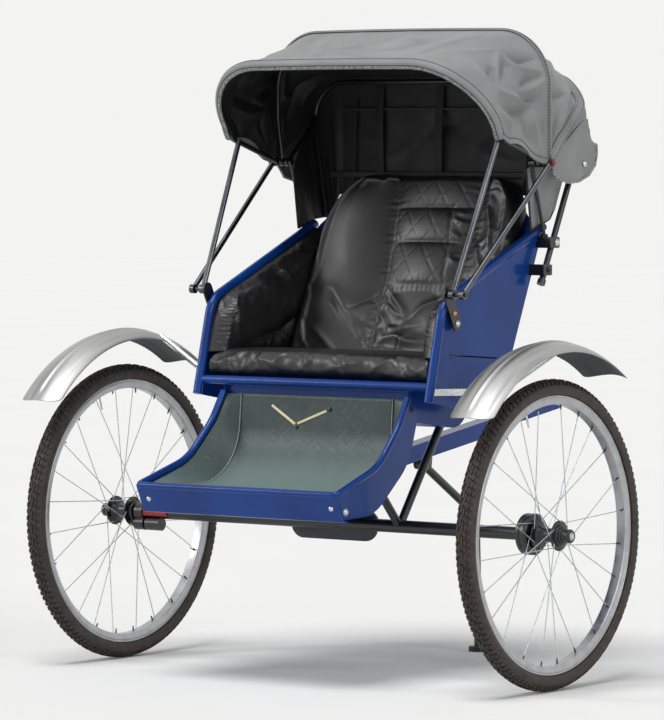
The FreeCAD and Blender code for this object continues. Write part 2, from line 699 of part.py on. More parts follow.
def arm_pad(tubes):
    """Side pad from the front post to the back, from the seat up to the rail."""
    low = CUSHION_TOP_Z + SOFT_GAP
    depth = SHEET_T + SOFT_GAP
    front_y = POST_HEAD[0] + ARM_PAD_HEAD_INSET
    top_z = rail_z(back_plane_y(RAIL_END[1], depth)) + ARM_PAD_LIFT
    outline = [(ARM_PAD_FRONT_Y, low), (front_y, rail_z(front_y) + ARM_PAD_LIFT),
               (back_plane_y(top_z, depth), top_z), (back_plane_y(low, depth), low)]
    pad = side_plate(outline, [8, ARM_PAD_HEAD_R, 10, 8], arm_inner_x(), ARM_PAD_T)
    return pad.cut(tubes)


# Mudguards

def dome_radius():
    return (GUARD_W ** 2 / 4 + GUARD_DOME ** 2) / (2 * GUARD_DOME)


def dome_height(x):
    """Height of the mudguard's crown line over the axle at a distance from its middle."""
    r = dome_radius()
    return GUARD_R - r + math.sqrt(r * r - x * x)


def mudguard():
    """Domed strip with a raised bead along its middle, turned about the axle."""
    half = GUARD_W / 2
    bead = GUARD_BEAD_HALF_W

    def at(x, lift):
        return Vector(HALF_TRACK + x, 0, AXLE_Z + dome_height(x) + lift)

    quarter = (half + bead) / 2
    edges = [Part.Arc(at(-half, 0), at(-quarter, 0), at(-bead, 0)).toShape(),
             Part.Arc(at(-bead, 0), at(0, GUARD_BEAD_H), at(bead, 0)).toShape(),
             Part.Arc(at(bead, 0), at(quarter, 0), at(half, 0)).toShape(),
             Part.LineSegment(at(half, 0), at(half, -GUARD_T)).toShape(),
             Part.Arc(at(half, -GUARD_T), at(0, -GUARD_T), at(-half, -GUARD_T)).toShape(),
             Part.LineSegment(at(-half, -GUARD_T), at(-half, 0)).toShape()]
    section = Part.Face(Part.Wire(edges))
    section.rotate(Vector(0, 0, AXLE_Z), X_AXIS, 90 - GUARD_FRONT_DEG)
    return section.revolve(Vector(0, 0, AXLE_Z), X_AXIS, -(180 - GUARD_FRONT_DEG - GUARD_REAR_DEG))


def guard_stay(guard):
    """Bar from a flange on the tub's side out and up to the underside of the mudguard."""
    foot = Vector(SIDE_OUTER_X + SEAT_GAP, STAY_Y, STAY_FOOT_Z)
    reach = dome_height(STAY_TOP_INSET)
    top = Vector(HALF_TRACK - STAY_TOP_INSET, STAY_Y, AXLE_Z + math.sqrt(reach ** 2 - STAY_Y ** 2))
    bar = tube_along([foot, foot + X_AXIS * STAY_NECK_L, top], [STAY_BEND_R], STAY_R)
    flange = Part.makeCylinder(STAY_FLANGE_R, STAY_FLANGE_T, foot, X_AXIS)
    return largest(bar.fuse(flange).cut(guard))


# Hood

def hood_bracket():
    """Ear bolted to the tub's side on two spacers, with the pin of the strut and the prop."""
    run = point(0, BRACKET_PIN) - point(0, BRACKET_FOOT)
    along = run.normalize()
    across = Vector(0, -along.z, along.y) * BRACKET_HALF_W
    foot = point(BRACKET_X, BRACKET_FOOT) - along * BRACKET_HALF_W
    head = point(BRACKET_X, BRACKET_PIN) + along * BRACKET_HALF_W
    corners = [foot - across, foot + across, head + across, head - across]
    radius = BRACKET_HALF_W - 0.5
    ear = Part.Face(rounded_outline(corners, [radius] * 4)).extrude(Vector(BRACKET_T, 0, 0))
    spacer_l = BRACKET_X - SIDE_OUTER_X - SEAT_GAP
    low = point(SIDE_OUTER_X + SEAT_GAP, BRACKET_FOOT)
    for spot in (low, low + along * SPACER_PITCH):
        ear = ear.fuse(Part.makeCylinder(SPACER_R, spacer_l, spot, X_AXIS))
    pin_l = STRUT_X_LOW + STRUT_EYE_L / 2 + PIN_SHOW - BRACKET_X
    return ear.fuse(Part.makeCylinder(BRACKET_PIN_R, pin_l, point(BRACKET_X, BRACKET_PIN), X_AXIS))


def hood_strut():
    """Fixed strut from the bracket pin to the knob, with the long knob pin that carries the bows."""
    low = point(STRUT_X_LOW, BRACKET_PIN)
    top = point(STRUT_X_TOP, KNOB)
    rod = bar_between(low, top, STRUT_R)
    rod = rod.fuse(eye(STRUT_X_LOW, BRACKET_PIN, LOW_EYE_R, STRUT_EYE_L))
    rod = rod.fuse(eye(STRUT_X_TOP, KNOB, BOW_EYE_R, STRUT_EYE_L))
    rod = rod.cut(eye(STRUT_X_LOW, BRACKET_PIN, BRACKET_PIN_R + SEAT_GAP, 2 * STRUT_EYE_L))
    inner = BRACE_X - BRACE_EYE_L / 2
    pin = Part.makeCylinder(KNOB_PIN_R, STRUT_X_TOP + STRUT_EYE_L / 2 - inner, point(inner, KNOB), X_AXIS)
    return rod.fuse(pin)


def clamp_centres():
    """Where the rear post passes the two clamps."""
    slope = (REAR_POST_TOP[0] - REAR_POST_FOOT[0]) / (REAR_POST_TOP[1] - REAR_POST_FOOT[1])
    return [(REAR_POST_FOOT[0] + slope * (z - REAR_POST_FOOT[1]), z) for z in (CLAMP_LOW_Z, CLAMP_HIGH_Z)]


def rear_post():
    """Post through both clamps, with a cap on its foot."""
    foot = point(REAR_POST_X, REAR_POST_FOOT)
    top = point(REAR_POST_X, REAR_POST_TOP)
    cap = Part.makeCylinder(REAR_POST_R + POST_CAP_LIP, POST_CAP_L, foot, foot - top)
    return bar_between(foot, top, REAR_POST_R).fuse(cap)


def hood_clamp():
    """Two blocks on the rear edge of the tub's side, each bored for the rear post."""
    x_in = SIDE_OUTER_X + SEAT_GAP
    x_out = REAR_POST_X + REAR_POST_R + CLAMP_WALL
    foot = point(REAR_POST_X, REAR_POST_FOOT)
    grip = bar_between(foot, point(REAR_POST_X, REAR_POST_TOP), REAR_POST_R + SEAT_GAP)
    blocks = []
    for y, z in clamp_centres():
        front = back_plane_y(z, 0) - CLAMP_LAP
        rear = y + REAR_POST_R + CLAMP_WALL
        h = CLAMP_HALF_H
        outline = [(front, z - h), (rear, z - h), (rear, z + h), (front, z + h)]
        blocks.append(side_plate(outline, [5, 5, 5, 5], x_in, x_out - x_in).cut(grip))
    return Part.makeCompound(blocks)


def hood_brace():
    """Bar from the knob pin down to the upper clamp."""
    y, z = clamp_centres()[1]
    foot = (y - BRACE_FOOT_INSET, z + CLAMP_HALF_H + SEAT_GAP)
    rod = bar_between(point(BRACE_X, KNOB), point(BRACE_X, (foot[0], foot[1] + BRACE_R)), BRACE_R)
    rod = rod.fuse(eye(BRACE_X, KNOB, BOW_EYE_R - 2, BRACE_EYE_L))
    corner = Vector(BRACE_X - BRACE_EYE_L / 2, foot[0] - BRACE_PAD_L / 2, foot[1])
    pad = Part.makeBox(BRACE_EYE_L, BRACE_PAD_L, BRACE_PAD_T, corner)
    return rod.fuse(pad).cut(eye(BRACE_X, KNOB, KNOB_PIN_R + SEAT_GAP, 2 * BRACE_EYE_L))


def bow(eye_x, knee, top, corner_r):
    """Hood bow: arms from the knob pins to the knees, and a square arch with round corners above them."""
    side = [point(eye_x, KNOB), point(BOW_HALF_W, knee), point(BOW_HALF_W, top)]
    path = side + [Vector(-p.x, p.y, p.z) for p in side[::-1]]
    knee_r = MID_KNEE_R if knee[0] == KNOB[0] else KNEE_R
    rod = tube_along(path, [knee_r, corner_r, corner_r, knee_r], BOW_R)
    for x in (eye_x, -eye_x):
        rod = rod.fuse(eye(x, KNOB, BOW_EYE_R, BOW_EYE_T))
    for x in (eye_x, -eye_x):
        rod = rod.cut(eye(x, KNOB, KNOB_PIN_R + RUNNING_FIT, 4 * BOW_EYE_T))
    return rod


def prop():
    """Loose prop that holds up the front bow: its lower eye turns on the bracket pin."""
    low = point(PROP_X_LOW, BRACKET_PIN)
    top = point(PROP_X_TOP, FRONT_KNEE)
    rod = bar_between(low, top, PROP_R).fuse(eye(PROP_X_LOW, BRACKET_PIN, LOW_EYE_R, PROP_EYE_L))
    return rod.cut(eye(PROP_X_LOW, BRACKET_PIN, BRACKET_PIN_R + RUNNING_FIT, 3 * PROP_EYE_L))


def cloth_band(foot, top, corner_r, gap):
    """Closed outline of the cloth over one bow, in the plane of that bow's arch."""
    def line(lift, order):
        half = BOW_HALF_W + lift
        rise = (top[1] + lift - foot[1]) / (top[1] - foot[1])
        crest = (foot[0] + (top[0] - foot[0]) * rise, top[1] + lift)
        pts = [point(-half, foot), point(-half, crest), point(half, crest), point(half, foot)]
        return pts[::order], [corner_r + lift, corner_r + lift]

    outer, outer_radii = line(BOW_R + gap + CLOTH_T, 1)
    inner, inner_radii = line(BOW_R + gap, -1)
    edges = rounded_path(outer, outer_radii)
    edges.append(Part.LineSegment(outer[-1], inner[0]).toShape())
    edges.extend(rounded_path(inner, inner_radii))
    edges.append(Part.LineSegment(inner[-1], outer[0]).toShape())
    return Part.Wire(edges)


def hood_panel(first, second):
    """Stretch of canopy between two bows."""
    return Part.makeLoft([first, second], True, True)


def curtain_y(z):
    """Where the back curtain hangs at a height."""
    return REAR_TOP[0] - (REAR_TOP[1] - z) * CURTAIN_LEAN


def hood_curtain():
    """Back curtain below the rear bow, with a wing each side down to the rail."""
    half = WING_X + CLOTH_T
    top_z = REAR_TOP[1] - BOW_R - SEAT_GAP
    hem = (curtain_y(CURTAIN_HEM_Z), CURTAIN_HEM_Z)
    head = (curtain_y(top_z), top_z)
    corners = [point(-half, hem), point(half, hem), point(half, head), point(-half, head)]
    wire = rounded_outline(corners, [1, 1, CURTAIN_CORNER_R, CURTAIN_CORNER_R])
    cloth = Part.Face(wire).extrude(Vector(0, CLOTH_T, 0))
    over_rail = EDGE_TUBE_R + WING_LIFT
    wing_z = top_z - CURTAIN_CORNER_R - CLOTH_T
    wing = [(WING_FRONT_LOW_Y, rail_z(WING_FRONT_LOW_Y) + over_rail), (RAIL_END[0], RAIL_END[1] + over_rail),
            (hem[0] + CLOTH_T / 2, CURTAIN_HEM_Z), (curtain_y(wing_z) + CLOTH_T / 2, wing_z), WING_FRONT_TOP]
    side = side_plate(wing, [1, 1, 1, 1, 1], WING_X, CLOTH_T)
    return cloth.fuse(side).fuse(mirrored(side))


def canopy_hem(y):
    """Height of the canopy's lower edge between the middle bow and the rear bow."""
    rise = (REAR_HEM[1] - MID_HEM[1]) / (REAR_HEM[0] - MID_HEM[0])
    return MID_HEM[1] + (y - MID_HEM[0]) * rise


def hood_flap():
    """Cloth flap that hangs behind the knob, sewn along the hem of the canopy."""
    sewn = [(y, canopy_hem(y) - SEAT_GAP) for y in (REAR_HEM[0], FLAP_FRONT_Y)]
    radii = [FLAP_R] * len(FLAP) + [1, 1]
    return side_plate(FLAP + sewn, radii, BOW_HALF_W + BOW_R + CLOTH_GAP, FLAP_T)


# Parking leg and brake

def leg_bracket():
    """Pair of ears under the boom with the leg's pin between them."""
    y, z = LEG_PIVOT
    r = LEG_EYE_R
    top = BOOM_AXIS_Z + (y + BOOM_W) * math.tan(math.radians(BOOM_SLOPE_DEG))
    flared = r + LEG_EAR_FLARE
    outline = [(y - r, z - r), (y + r, z - r), (y + flared, top), (y - flared, top)]
    x_in = LEG_EYE_HALF_W + SEAT_GAP
    ear = side_plate(outline, [r - 0.5, r - 0.5, 1, 1], x_in, LEG_EAR_T)
    sleeve = boom_block(BOOM_W / 2, BOOM_W / 2, BOOM_START, BOOM_SLEEVE_END)
    above = boom_block(BOOM_W, BOOM_W, BOOM_START, BOOM_SLEEVE_END)
    above.translate(Vector(0, 0, BOOM_W))
    ear = largest(ear.cut(sleeve).cut(above))
    pin_half = x_in + LEG_EAR_T + PIN_SHOW
    pin = eye(0, LEG_PIVOT, LEG_PIN_R, 2 * pin_half)
    return ear.fuse(mirrored(ear)).fuse(pin)


def stand_leg():
    """Cranked leg that hangs from its eye under the boom and stands on a rubber foot."""
    foot = (LEG_FOOT_Y, GROUND_Z + FOOT_PAD_T / 2)
    path = [point(0, LEG_PIVOT), point(0, LEG_ELBOW), point(0, foot)]
    rod = tube_along(path, [LEG_BEND_R], LEG_R)
    rod = rod.fuse(eye(0, LEG_PIVOT, LEG_EYE_R, 2 * LEG_EYE_HALF_W))
    return rod.cut(eye(0, LEG_PIVOT, LEG_PIN_R + RUNNING_FIT, 3 * LEG_EYE_HALF_W)).cut(leg_foot())


def leg_foot():
    return Part.makeCylinder(FOOT_PAD_R, FOOT_PAD_T, Vector(0, LEG_FOOT_Y, GROUND_Z))


def brake_collar():
    """Clamp collar and two round lugs on the left end of the axle."""
    x = HUB_REACH_IN - HALF_TRACK + BRAKE_HUB_GAP
    solid = Part.makeCylinder(BRAKE_COLLAR_R, BRAKE_COLLAR_W, Vector(x, 0, AXLE_Z), X_AXIS)
    lug_z = AXLE_Z - AXLE_TUBE_R - BRAKE_LUG_R + BRAKE_LUG_LAP
    for k, width in enumerate(BRAKE_LUG_WIDTHS):
        spot = Vector(x + k * BRAKE_LUG_PITCH, BRAKE_LUG_Y, lug_z)
        solid = solid.fuse(Part.makeCylinder(BRAKE_LUG_R, width, spot, X_AXIS))
    corner = Vector(x, BRAKE_LUG_Y - BRAKE_BRIDGE_T / 2, lug_z - BRAKE_BRIDGE_T / 2)
    bridge = Part.makeBox(BRAKE_LUG_PITCH + BRAKE_LUG_R, BRAKE_BRIDGE_T, BRAKE_BRIDGE_T, corner)
    return solid.fuse(bridge).cut(axle_space())


def axle_space():
    return Part.makeCylinder(AXLE_TUBE_R + SEAT_GAP, 2 * HALF_TRACK, Vector(-HALF_TRACK, 0, AXLE_Z), X_AXIS)


def brake_sleeve():
    x = HUB_REACH_IN - HALF_TRACK + BRAKE_HUB_GAP + BRAKE_COLLAR_W + SEAT_GAP
    z = AXLE_Z - BRAKE_SLEEVE_H / 2 + BRAKE_SLEEVE_RISE
    block = Part.makeBox(BRAKE_SLEEVE_L, BRAKE_SLEEVE_D, BRAKE_SLEEVE_H, Vector(x, -BRAKE_SLEEVE_D / 2, z))
    block = block.makeFillet(5, block.Edges)
    return largest(block.cut(axle_space()).cut(brake_collar()))


def bodies():
    """Every solid of the unit by name, with the axle at Y = 0."""
    tube = edge_tube(EDGE_TUBE_R)
    tubes = both_sides(tube)
    soft_clear = both_sides(edge_tube(EDGE_TUBE_R + SOFT_GAP))
    axle_solid = axle()
    box = seat_box()
    rim_space = foot_rim(RIM_TUBE_R + SEAT_GAP / 10)
    rim_clear = foot_rim(RIM_TUBE_R + SEAT_GAP)
    floor = largest(foot_floor().cut(rim_clear))
    guard = mudguard()
    lean = (FRONT_TOP[0] - FRONT_KNEE[0]) / (FRONT_TOP[1] - FRONT_KNEE[1])
    front_hem = (FRONT_KNEE[0] + HEM_LIFT * lean, FRONT_KNEE[1] + HEM_LIFT)
    front_band = cloth_band(front_hem, FRONT_TOP, FRONT_CORNER_R, CLOTH_GAP)
    mid_band = cloth_band(MID_HEM, MID_TOP, MID_CORNER_R, CLOTH_RIDGE_GAP)
    rear_band = cloth_band(REAR_HEM, REAR_TOP, REAR_CORNER_R, CLOTH_GAP)
    outer_eye = BOW_HALF_W
    nodes = {
        "axle": axle_solid,
        "axle_plate": axle_plate(),
        "boom_sleeve": boom_sleeve(),
        "boom_bar": boom_bar(),
        "frame_legs": frame(axle_space(), box_block(0), floor),
        "tub_side_right": tub_side(),
        "edge_tubes": tubes,
        "tub_back": tub_back(tubes),
        "seat_pan": seat_pan(),
        "seat_rail": seat_rail(tubes),
        "seat_box": box,
        "foot_rims": foot_rim(RIM_TUBE_R),
        "foot_side_right": foot_side(rim_space),
        "foot_floor": floor,
        "foot_mat": largest(foot_mat().cut(rim_clear)),
        "foot_lip": foot_lip(rim_space),
        "seat_cushion": seat_cushion(soft_clear),
        "back_pad": back_pad(),
        "arm_pad_right": arm_pad(soft_clear),
        "mudguard_right": guard,
        "guard_stays": both_sides(guard_stay(guard)),
        "hood_brackets": both_sides(hood_bracket()),
        "hood_struts": both_sides(hood_strut()),
        "hood_braces": both_sides(hood_brace()),
        "rear_posts": both_sides(rear_post()),
        "hood_clamps": both_sides(hood_clamp().cut(tub_side())),
        "bow_front": bow(outer_eye, FRONT_KNEE, FRONT_TOP, FRONT_CORNER_R),
        "bow_mid": bow(outer_eye - BOW_EYE_PITCH, MID_KNEE, MID_TOP, MID_CORNER_R),
        "bow_rear": bow(outer_eye - 2 * BOW_EYE_PITCH, REAR_KNEE, REAR_TOP, REAR_CORNER_R),
        "hood_front_panel": hood_panel(front_band, mid_band),
        "hood_rear_panel": hood_panel(mid_band, rear_band),
        "hood_curtain": hood_curtain(),
        "hood_flaps": both_sides(hood_flap()),
        "prop_right": prop(),
        "leg_bracket": leg_bracket(),
        "stand_leg": stand_leg(),
        "leg_foot": leg_foot(),
        "brake_collar": brake_collar(),
        "brake_sleeve": brake_sleeve(),
        "tyre_right": tyre(HALF_TRACK),
        "rim_right": rim(HALF_TRACK),
        "spokes_right": spokes(HALF_TRACK),
        "hub_right": hub(HALF_TRACK, 1, True),
    }
    for name in ("tub_side", "foot_side", "arm_pad", "mudguard", "prop", "tyre", "rim", "spokes"):
        nodes[name + "_left"] = mirrored(nodes[name + "_right"])
    nodes["hub_left"] = hub(-HALF_TRACK, -1, False)
    return nodes


def main():
    os.makedirs("parts", exist_ok=True)
    for name, shape in bodies().items():
        solid = shape.copy()
        solid.translate(Vector(0, ORIGIN_SHIFT, -GROUND_Z))
        print(name, solid.isValid(), len(solid.Solids), round(solid.Volume))
        solid.exportStep("parts/%s.step" % name)


main()
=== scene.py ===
# %% [markdown]
# # The passenger unit of a cycle rickshaw
#
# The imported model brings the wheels, the frame, the blue tub, the bows of the hood and every
# joint. What is added here is what a maker of bodies, an upholsterer and a wheel builder add:
# paint, tread, spoked rims, the grey hood, the black seat and the small fittings.
#
# Every new piece is a surface worked out with numpy: a function of two numbers on a grid, or a
# section carried along a path. The lengths below are millimetres, along Y from the axle and
# along Z from the ground, as on the maker's drawing, and `metres` turns them into the scene's.

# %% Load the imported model
import math

import bmesh
import bpy
import numpy as np
from mathutils import Matrix


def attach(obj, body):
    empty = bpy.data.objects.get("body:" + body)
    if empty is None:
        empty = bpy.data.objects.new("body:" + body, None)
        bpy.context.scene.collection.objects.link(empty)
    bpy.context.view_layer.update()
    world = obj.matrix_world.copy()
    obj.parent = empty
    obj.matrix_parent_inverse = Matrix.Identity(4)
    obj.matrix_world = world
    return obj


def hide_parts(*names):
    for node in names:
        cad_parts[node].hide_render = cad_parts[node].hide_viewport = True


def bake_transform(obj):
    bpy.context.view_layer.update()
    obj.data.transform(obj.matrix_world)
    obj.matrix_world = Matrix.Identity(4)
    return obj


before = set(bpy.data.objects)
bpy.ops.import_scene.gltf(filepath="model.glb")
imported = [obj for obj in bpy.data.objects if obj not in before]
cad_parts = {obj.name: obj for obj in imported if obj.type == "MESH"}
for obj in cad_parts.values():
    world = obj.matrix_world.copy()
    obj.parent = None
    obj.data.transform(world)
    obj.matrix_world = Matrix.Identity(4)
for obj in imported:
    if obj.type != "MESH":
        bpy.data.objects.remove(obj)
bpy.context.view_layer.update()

# %% [markdown]
# ## Where things are
#
# The origin lies under the middle of the whole unit, and the axle is 294.5 mm in front of it.
# The few sizes that several pieces share are named once here.

# %% Shared sizes
AXLE_SHIFT = -0.2945
AXLE_Z = 355.0
HALF_TRACK = 618.0
BOW_HALF_W = 392.0
RNG = np.random.default_rng(7)
SIDES = (("left", -1), ("right", 1))


def metres(points):
    """Millimetres from the axle line and the ground, in the scene's metres."""
    out = np.array(points, float) / 1000
    out[..., 1] += AXLE_SHIFT
    return out


def smooth(t):
    """Rises from 0 to 1 with level ends: three t squared less two t cubed, held outside 0 to 1."""
    t = np.clip(t, 0, 1)
    return t * t * (3 - 2 * t)


def unit(vectors):
    """Each vector divided by its length."""
    length = np.linalg.norm(vectors, axis=-1, keepdims=True)
    return vectors / np.maximum(length, 1e-12)


def same(vector, like):
    """One vector, repeated for each point of a path."""
    return np.broadcast_to(np.array(vector, float), like.shape)


# %% [markdown]
# ## Meshes from arrays
#
# A surface on a grid needs only its points and a rule that joins each point to its neighbours.
# Blender's own primitives would do for a box, but not for a hood with folds. So one function
# makes the four-sided faces of any grid, and one turns arrays into a finished piece.

# %% Grid faces and the piece maker
def grid_faces(rows, cols, wrap_rows=False, wrap_cols=False):
    """Four-sided faces of a grid of points, numbered row by row.

    A wrapped side joins its last line to its first."""
    lines = np.arange(rows - (not wrap_rows)), np.arange(cols - (not wrap_cols))
    i, j = np.meshgrid(*lines, indexing="ij")
    i2, j2 = (i + 1) % rows, (j + 1) % cols
    return np.stack([i * cols + j, i2 * cols + j, i2 * cols + j2, i * cols + j2], -1).reshape(-1, 4)


def tube_faces(rows, cols):
    """Faces of a grid whose rows are closed rings, with a many-sided face over each end."""
    last = (rows - 1) * cols
    return (grid_faces(rows, cols, wrap_cols=True).tolist()
            + [list(range(cols))[::-1], list(range(last, last + cols))])


def joined(parts):
    """Several (points, faces) pairs as one, each part's faces counted on from the points before it."""
    points = np.concatenate([p.reshape(-1, 3) for p, _ in parts])
    faces, start = [], 0
    for p, f in parts:
        faces.extend((np.asarray(row) + start).tolist() for row in f)
        start += p.reshape(-1, 3).shape[0]
    return points, faces


def make_piece(name, points, faces, materials, body, slot=None, sharp_deg=None, outward=False):
    """A mesh object from millimetre points and faces, which rides on a body."""
    mesh = bpy.data.meshes.new(name)
    mesh.from_pydata(metres(points).reshape(-1, 3).tolist(), [], [list(map(int, f)) for f in faces])
    mesh.validate()
    if outward:
        form = bmesh.new()
        form.from_mesh(mesh)
        bmesh.ops.recalc_face_normals(form, faces=form.faces)
        form.to_mesh(mesh)
        form.free()
    mesh.shade_smooth()
    if sharp_deg is not None:
        mesh.set_sharp_from_angle(angle=math.radians(sharp_deg))
    piece = bpy.data.objects.new(name, mesh)
    bpy.context.collection.objects.link(piece)
    for material in materials if isinstance(materials, (list, tuple)) else [materials]:
        mesh.materials.append(material)
    if body:
        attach(piece, body)
    return piece


def closed_piece(name, parts, material, body, slot, sharp_deg=None):
    """Several closed (points, faces) pairs as one piece, with every face turned outwards."""
    return make_piece(name, *joined(parts), material, body, slot, sharp_deg, True)


def walled(piece, millimetres):
    """Gives an open sheet its thickness, inwards from its face."""
    wall = piece.modifiers.new("wall", "SOLIDIFY")
    wall.thickness, wall.offset = millimetres / 1000, -1.0
    return wall


# %% [markdown]
# ## Sections, paths and turned parts
#
# A tape, a cord, a seam or a rim is one section carried along a path. A hub or a bolt is a
# profile turned about an axis. Both come down to the same grid of points.

# %% Sections along paths
def banded(border, first, second, section):
    """A closed section carried along a border.

    The section's first numbers go one way from each border point, and its second another."""
    section = np.asarray(section, float)
    points = border[:, None] + section[None, :, :1] * first[:, None] + section[None, :, 1:] * second[:, None]
    return points.reshape(-1, 3), tube_faces(*points.shape[:2])


def swept(path, section, side_hint):
    """A closed section carried along a path.

    At each path point the section's first number goes along the side, which is the tangent crossed
    with a hint, and its second along the side crossed with the tangent."""
    path = np.asarray(path, float)
    tangent = unit(np.gradient(path, axis=0))
    side = unit(np.cross(tangent, np.broadcast_to(side_hint, path.shape)))
    return banded(path, side, np.cross(side, tangent), section)


def circle(count):
    """Cosines and sines of equal steps round a full turn."""
    a = np.arange(count) * 2 * np.pi / count
    return np.cos(a), np.sin(a)


def circle_section(radius, count):
    """Points round a circle."""
    return radius * np.stack(circle(count), -1)


def turned(profile, x_mid, side=1, count=96, centre=(0.0, AXLE_Z)):
    """A profile of (distance along X, radius) turned about an axis along X."""
    profile = np.asarray(profile, float)
    cos, sin = circle(count)
    x = np.broadcast_to(x_mid + side * profile[:, 0], (count, len(profile)))
    y = centre[0] + profile[:, 1] * cos[:, None]
    z = centre[1] + profile[:, 1] * sin[:, None]
    return np.stack([x, y, z], -1), grid_faces(count, len(profile), True, True)


# %% [markdown]
# A drawn outline has sharp corners, and a path given by a few points has uneven steps. These
# functions round the one and even out the other.

# %% Round corners and even paths
def rounded_corners(outline, radius, steps):
    """A closed outline with each corner replaced by a short curve.

    The curve is a quadratic through the corner between two points set back from it."""
    p = np.asarray(outline, float)
    before, after = np.roll(p, 1, 0), np.roll(p, -1, 0)
    reach = np.minimum(np.linalg.norm(before - p, axis=1), np.linalg.norm(after - p, axis=1)) / 2
    back = np.minimum(np.broadcast_to(radius, reach.shape), reach * 0.98)[:, None]
    a, b = p + unit(before - p) * back, p + unit(after - p) * back
    t = np.linspace(0, 1, steps + 1)[None, :, None]
    curve = (1 - t) ** 2 * a[:, None] + 2 * t * (1 - t) * p[:, None] + t ** 2 * b[:, None]
    return curve.reshape(-1, p.shape[1])


def read_off(at, run, columns):
    """Each column of an array, read off by straight lines at places along a run."""
    return np.stack([np.interp(at, run, columns[:, k]) for k in range(columns.shape[1])], -1)


def even_path(points, count):
    """Points at equal distances along a run of points joined by straight lines."""
    points = np.asarray(points, float)
    run = np.concatenate([[0], np.cumsum(np.linalg.norm(np.diff(points, axis=0), axis=1))])
    return read_off(np.linspace(0, run[-1], count), run, points)


def curved_path(points, count):
    """A smooth curve through the points, at equal steps.

    Each span is a cubic whose end slopes are half the chord of its neighbours."""
    p = np.asarray(points, float)
    slope = np.gradient(p, axis=0)
    t = np.linspace(0, len(p) - 1, count * 4)
    k = np.clip(t.astype(int), 0, len(p) - 2)
    u = (t - k)[:, None]
    dense = ((2 * u ** 3 - 3 * u ** 2 + 1) * p[k] + (u ** 3 - 2 * u ** 2 + u) * slope[k]
             + (3 * u ** 2 - 2 * u ** 3) * p[k + 1] + (u ** 3 - u ** 2) * slope[k + 1])
    return even_path(dense, count)


# %% [markdown]
# Stitches, nipples and bolts come by the dozen. One profile is worked out for all of them at
# once, either between pairs of points or at many spots that face one way.

# %% Many small turned parts
def rods(starts, ends, profile, count=8):
    """Many small turned rods at once.

    Each profile row gives a share of the way from start to end and a radius there."""
    starts, ends, profile = (np.asarray(v, float) for v in (starts, ends, profile))
    along = unit(ends - starts)
    hint = np.where(np.abs(along[:, :1]) > 0.9, [[0, 1, 0]], [[1, 0, 0]])
    side = unit(np.cross(along, hint))
    up = np.cross(along, side)
    cos, sin = circle(count)
    round_ = cos[None, :, None] * side[:, None] + sin[None, :, None] * up[:, None]
    centre = starts[:, None] + (ends - starts)[:, None] * profile[None, :, :1]
    points = centre[:, :, None] + round_[:, None] * profile[None, :, 1][..., None, None]
    one = [f[::-1] for f in tube_faces(len(profile), count)]
    size = len(profile) * count
    return points.reshape(-1, 3), [[v + k * size for v in f] for k in range(len(starts)) for f in one]


def facing(spots, direction, profile, count=20):
    """Small turned parts at many spots, all facing one way.

    The profile is (height, radius) from foot to top."""
    out = unit(np.array(direction, float))
    side = unit(np.cross(out, (0, 0, 1)))
    up = np.cross(out, side)
    cos, sin = circle(count)
    round_ = cos[:, None] * side + sin[:, None] * up
    rings = np.array([out * h + round_ * r for h, r in profile])
    faces = tube_faces(len(profile), count)
    return [((rings + np.array(spot, float)).reshape(-1, 3), faces) for spot in spots]


# %% [markdown]
# ## Camera, light and floor
#
# The photograph was taken from the passenger's front right and a little above, from far away, so
# a long lens keeps the verticals almost parallel. The angle, distance and lens were solved from
# the outlines of the two wheels. The unit stands on a pale floor. Three distant soft lamps light
# all of the floor alike, so that it meets the backdrop without an edge.

# %% Camera
def placed(ob, x, z, at=(0.0, 0.0, 0.0)):
    """Puts an object into the scene at a place, turned so that its own X and Z go the given ways."""
    bpy.context.collection.objects.link(ob)
    turn = np.eye(4)
    turn[:3] = np.column_stack([x, np.cross(z, x), z, at])
    ob.matrix_world = Matrix(turn.tolist())
    return ob


AZIMUTH, ELEVATION = math.radians(36.38), math.radians(2.62)
back = np.array([math.sin(AZIMUTH) * math.cos(ELEVATION), -math.cos(AZIMUTH) * math.cos(ELEVATION),
                 math.sin(ELEVATION)])
right = np.array([math.cos(AZIMUTH), math.sin(AZIMUTH), 0.0])
camera_data = bpy.data.cameras.new("camera")
camera_data.lens, camera_data.sensor_width, camera_data.clip_end = 242.7, 36.0, 100.0
camera = placed(bpy.data.objects.new("camera", camera_data), right, back, (6.732, -9.4245, 1.255))
bpy.context.scene.camera = camera
bpy.context.scene.view_settings.view_transform = "Standard"
print("camera", [round(v, 3) for v in camera.location], "lens", round(camera_data.lens, 1))

# %% [markdown]
# ## Colours and nodes
#
# A colour is easiest to read off as the hex number a paint shop would give. The renderer works
# with linear light, so one function turns the one into the other. A second adds a single node
# with its settings and links, and every finish below is a short list of such calls.

# %% Colour and node helpers
def linear(code):
    """The four linear numbers of an sRGB hex colour.

    Each channel has 0.055 added, is divided by 1.055 and raised to the power 2.4. Below 0.04045 it
    is divided by 12.92 instead."""
    channel = np.array([int(code[i:i + 2], 16) for i in (1, 3, 5)]) / 255
    return (*np.where(channel <= 0.04045, channel / 12.92, ((channel + 0.055) / 1.055) ** 2.4), 1.0)


def grey(level):
    """A grey of one level, as the value of a ramp that drives a number."""
    return (level, level, level, 1.0)


def add(tree, kind, settings=None, inputs=None):
    """Adds one node: settings are its own properties, and an input is a value or another node's output."""
    node = tree.nodes.new("ShaderNode" + kind)
    for key, value in (settings or {}).items():
        setattr(node, key, value)
    for key, value in (inputs or {}).items():
        if isinstance(value, bpy.types.NodeSocket):
            tree.links.new(value, node.inputs[key])
        else:
            node.inputs[key].default_value = value
    return node


